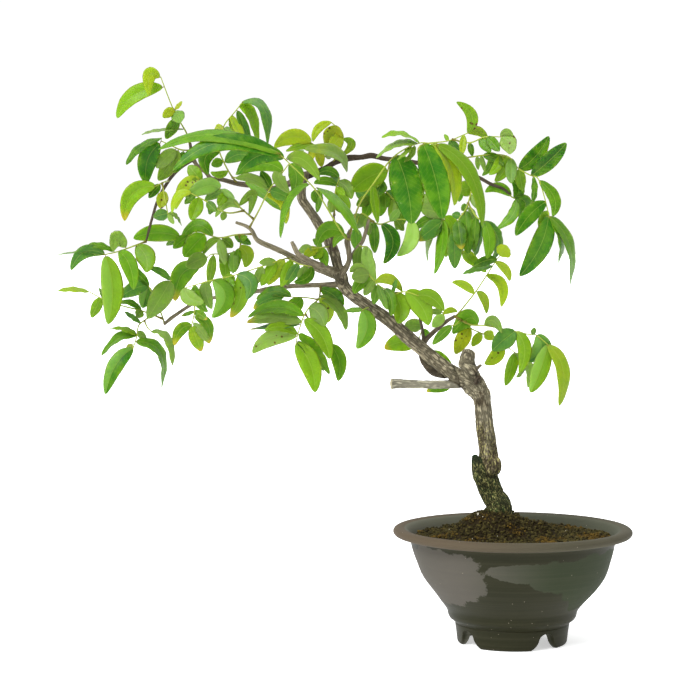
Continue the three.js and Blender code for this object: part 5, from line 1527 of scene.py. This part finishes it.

# %% [markdown]
# A leaf's surface has its own map: u from base to tip and v from the midrib to the margin, both
# stored on the mesh, with the leaflet's length and half width in millimetres. Side veins leave
# the midrib at a slant, so their pattern is the fraction of (along - 0.9 |aside|) / 4.5 mm. The
# finest veins are the borders of small cells, laid out in millimetres on the leaflet itself.
# Both are hardly visible as colour, but they break up the sheen.
# The underside is paler, the midrib is pale, and tips and blotches turn yellow with age.
# Random dark patches on each leaflet are painted shade, and one half of some leaflets has a painted sheen.

# %% Leaf surface
VEIN_SLANT = 0.9
VEIN_SPACING_MM = 4.5
VEIN_WAVES_MM = 1.6
YELLOW_IN_PATCHES = 0.38
SIDE_VEIN_SHARE = 0.09
MIDRIB_SHARE = 0.38
PAINTED_SHEEN_SHARE = 0.32
UNDERSIDE_SHARE = 0.45
TOP_ROUGHNESS = 0.26
UNDER_ROUGHNESS = 0.52

leaf_surface, inside, outside = new_group(
    "Leaf surface",
    {"Blade": "Vector", "Size": "Vector", "Leaf": "Vector", "Tone": "Color",
     "Yellow": "Color", "Ageing": "Float"},
    {"Colour": "Color", "Roughness": "Float", "Height": "Float"},
)
tone = inside["Tone"]
yellow = inside["Yellow"]
blade_u, blade_v, is_under = parts_of(inside["Blade"])
length, half_width, stalkness = parts_of(inside["Size"])
yellow_tip, state, seed = parts_of(inside["Leaf"])
along = times(blade_u, length)
aside = times(maths("ABSOLUTE", blade_v), half_width)
on_leaf = {0: along, 1: times(blade_v, half_width), 2: times(seed, 50.0)}
on_leaf = add_node("ShaderNodeCombineXYZ", on_leaf).outputs[0]
slant = maths("SUBTRACT", along, times(aside, VEIN_SLANT))
slant = plus(slant, times(noise_node(on_leaf, 0.26), VEIN_WAVES_MM))
share = maths("FRACT", maths("DIVIDE", slant, VEIN_SPACING_MM))
side_vein = step_between(maths("ABSOLUTE", maths("SUBTRACT", share, 0.5)), 0.0, 0.09, 1.0, 0.0)
midrib = step_between(aside, 0.12, 0.42, 1.0, 0.0)
net = add_node("ShaderNodeTexVoronoi", {"Vector": on_leaf, "Scale": 0.42}, feature="DISTANCE_TO_EDGE")
patches = noise_node(on_leaf, 0.07, detail=4.0)
fine = noise_node(on_leaf, 0.42)

patchy = step_between(patches, 0.4, 0.66, 0.0, 0.85)
colour = mixed(patchy, tone, mixed(YELLOW_IN_PATCHES, tone, yellow))
# Painted shade: random dark green patches on each leaflet stand in for the shading between the leaves.
colour = mixed(step_between(plus(fine, seed), 0.4, 1.5, 0.36, 0.0), colour, "1b3c06")
aged = step_between(plus(patches, inside["Ageing"]), 0.75, 1.05, 0.0, 0.75)
colour = mixed(aged, colour, yellow)
colour = mixed(times(step_between(blade_u, 0.78, 0.98), yellow_tip), colour, "9a8a20")
# Painted sheen: on the listed leaflets one half is mixed towards a pale green, as a reflection of the sky.
painted_sky_sheen = times(step_between(blade_v, 0.02, -0.12), step_between(state, -0.2, -0.8))
colour = mixed(times(painted_sky_sheen, PAINTED_SHEEN_SHARE), colour, "82aa50")
vein_tint = maths("MAXIMUM", times(side_vein, SIDE_VEIN_SHARE), times(midrib, MIDRIB_SHARE))
colour = mixed(vein_tint, colour, "8fa544")
colour = mixed(times(is_under, UNDERSIDE_SHARE), colour, "648a50")
spots = use_group(specks, Place=on_leaf, Scale=0.21, Size=0.35, Share=0.34)[0]
colour = mixed(times(spots, step_between(state, 0.2, 0.8)), colour, "452b0e")
stalk_green = mixed(step_between(blade_u, 0.0, 0.35), "665f22", "8e9b38")
gloss = plus(step_between(is_under, 0.0, 1.0, TOP_ROUGHNESS, UNDER_ROUGHNESS), times(fine, 0.2))
relief = maths("SUBTRACT", step_between(net.outputs["Distance"], 0.0, 0.2, 0.0, 0.12), times(side_vein, 0.6))
leaf_surface.links.new(mixed(stalkness, colour, stalk_green), outside["Colour"])
leaf_surface.links.new(gloss, outside["Roughness"])
leaf_surface.links.new(plus(relief, times(patches, 1.5)), outside["Height"])
print("group", leaf_surface.name)

# %% Leaf materials
THROUGH_LIGHT = {
    "Subsurface Weight": 0.18, "Subsurface Scale": 0.002, "Subsurface Radius": (0.6, 1.0, 0.2),
}


def leaf_material(name, yellow, ageing):
    """A leaf material: the shared surface with its own yellow and its own share of ageing."""
    material, tree, shader = new_material(name, shine=0.14)
    tone = add_node("ShaderNodeAttribute", {}, tree, attribute_name="tone").outputs["Color"]
    leaf = use_group(leaf_surface, Blade=mark_of(tree, "blade"), Size=mark_of(tree, "size"),
                     Leaf=mark_of(tree, "leaf"), Tone=tone, Yellow=rgb(yellow), Ageing=ageing)
    connect(shader, leaf["Colour"], leaf["Roughness"], leaf["Height"], depth=0.35, reach=0.0006)
    for label, value in THROUGH_LIGHT.items():
        shader.inputs[label].default_value = value
    return material


leaf_green = leaf_material("leaf_green", "6f9a1c", 0.0)
leaf_yellow_green = leaf_material("leaf_yellow_green", "8c9616", 0.22)
print("leaf materials", leaf_green.name, leaf_yellow_green.name)

# %% [markdown]
# Now each frond is one piece: its stalks and all its leaflets in a single mesh, standing where
# its plain solid stands. The draw is seeded by the frond's number, so that a change to one
# frond leaves the others as they are.

# %% Fronds
FIRST_SEED = 100
leaflet_count = 0
for number, (name, (_, stems, leaves)) in enumerate(FRONDS.items()):
    draw = np.random.default_rng(FIRST_SEED + number)
    skins = [frond_stalk(stem, TONES[STALK_TONE], draw) for stem in stems]
    skins += [leaflet(row, stems, order, tint_of(name, order), draw) for order, row in enumerate(leaves)]
    is_yellow = name in YELLOWING
    piece = make_object(name + "_leaflets", joined(skins), leaf_yellow_green if is_yellow else leaf_green)
    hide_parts(name)
    leaflet_count += len(leaves)
print(len(FRONDS), "fronds with", leaflet_count, "leaflets")
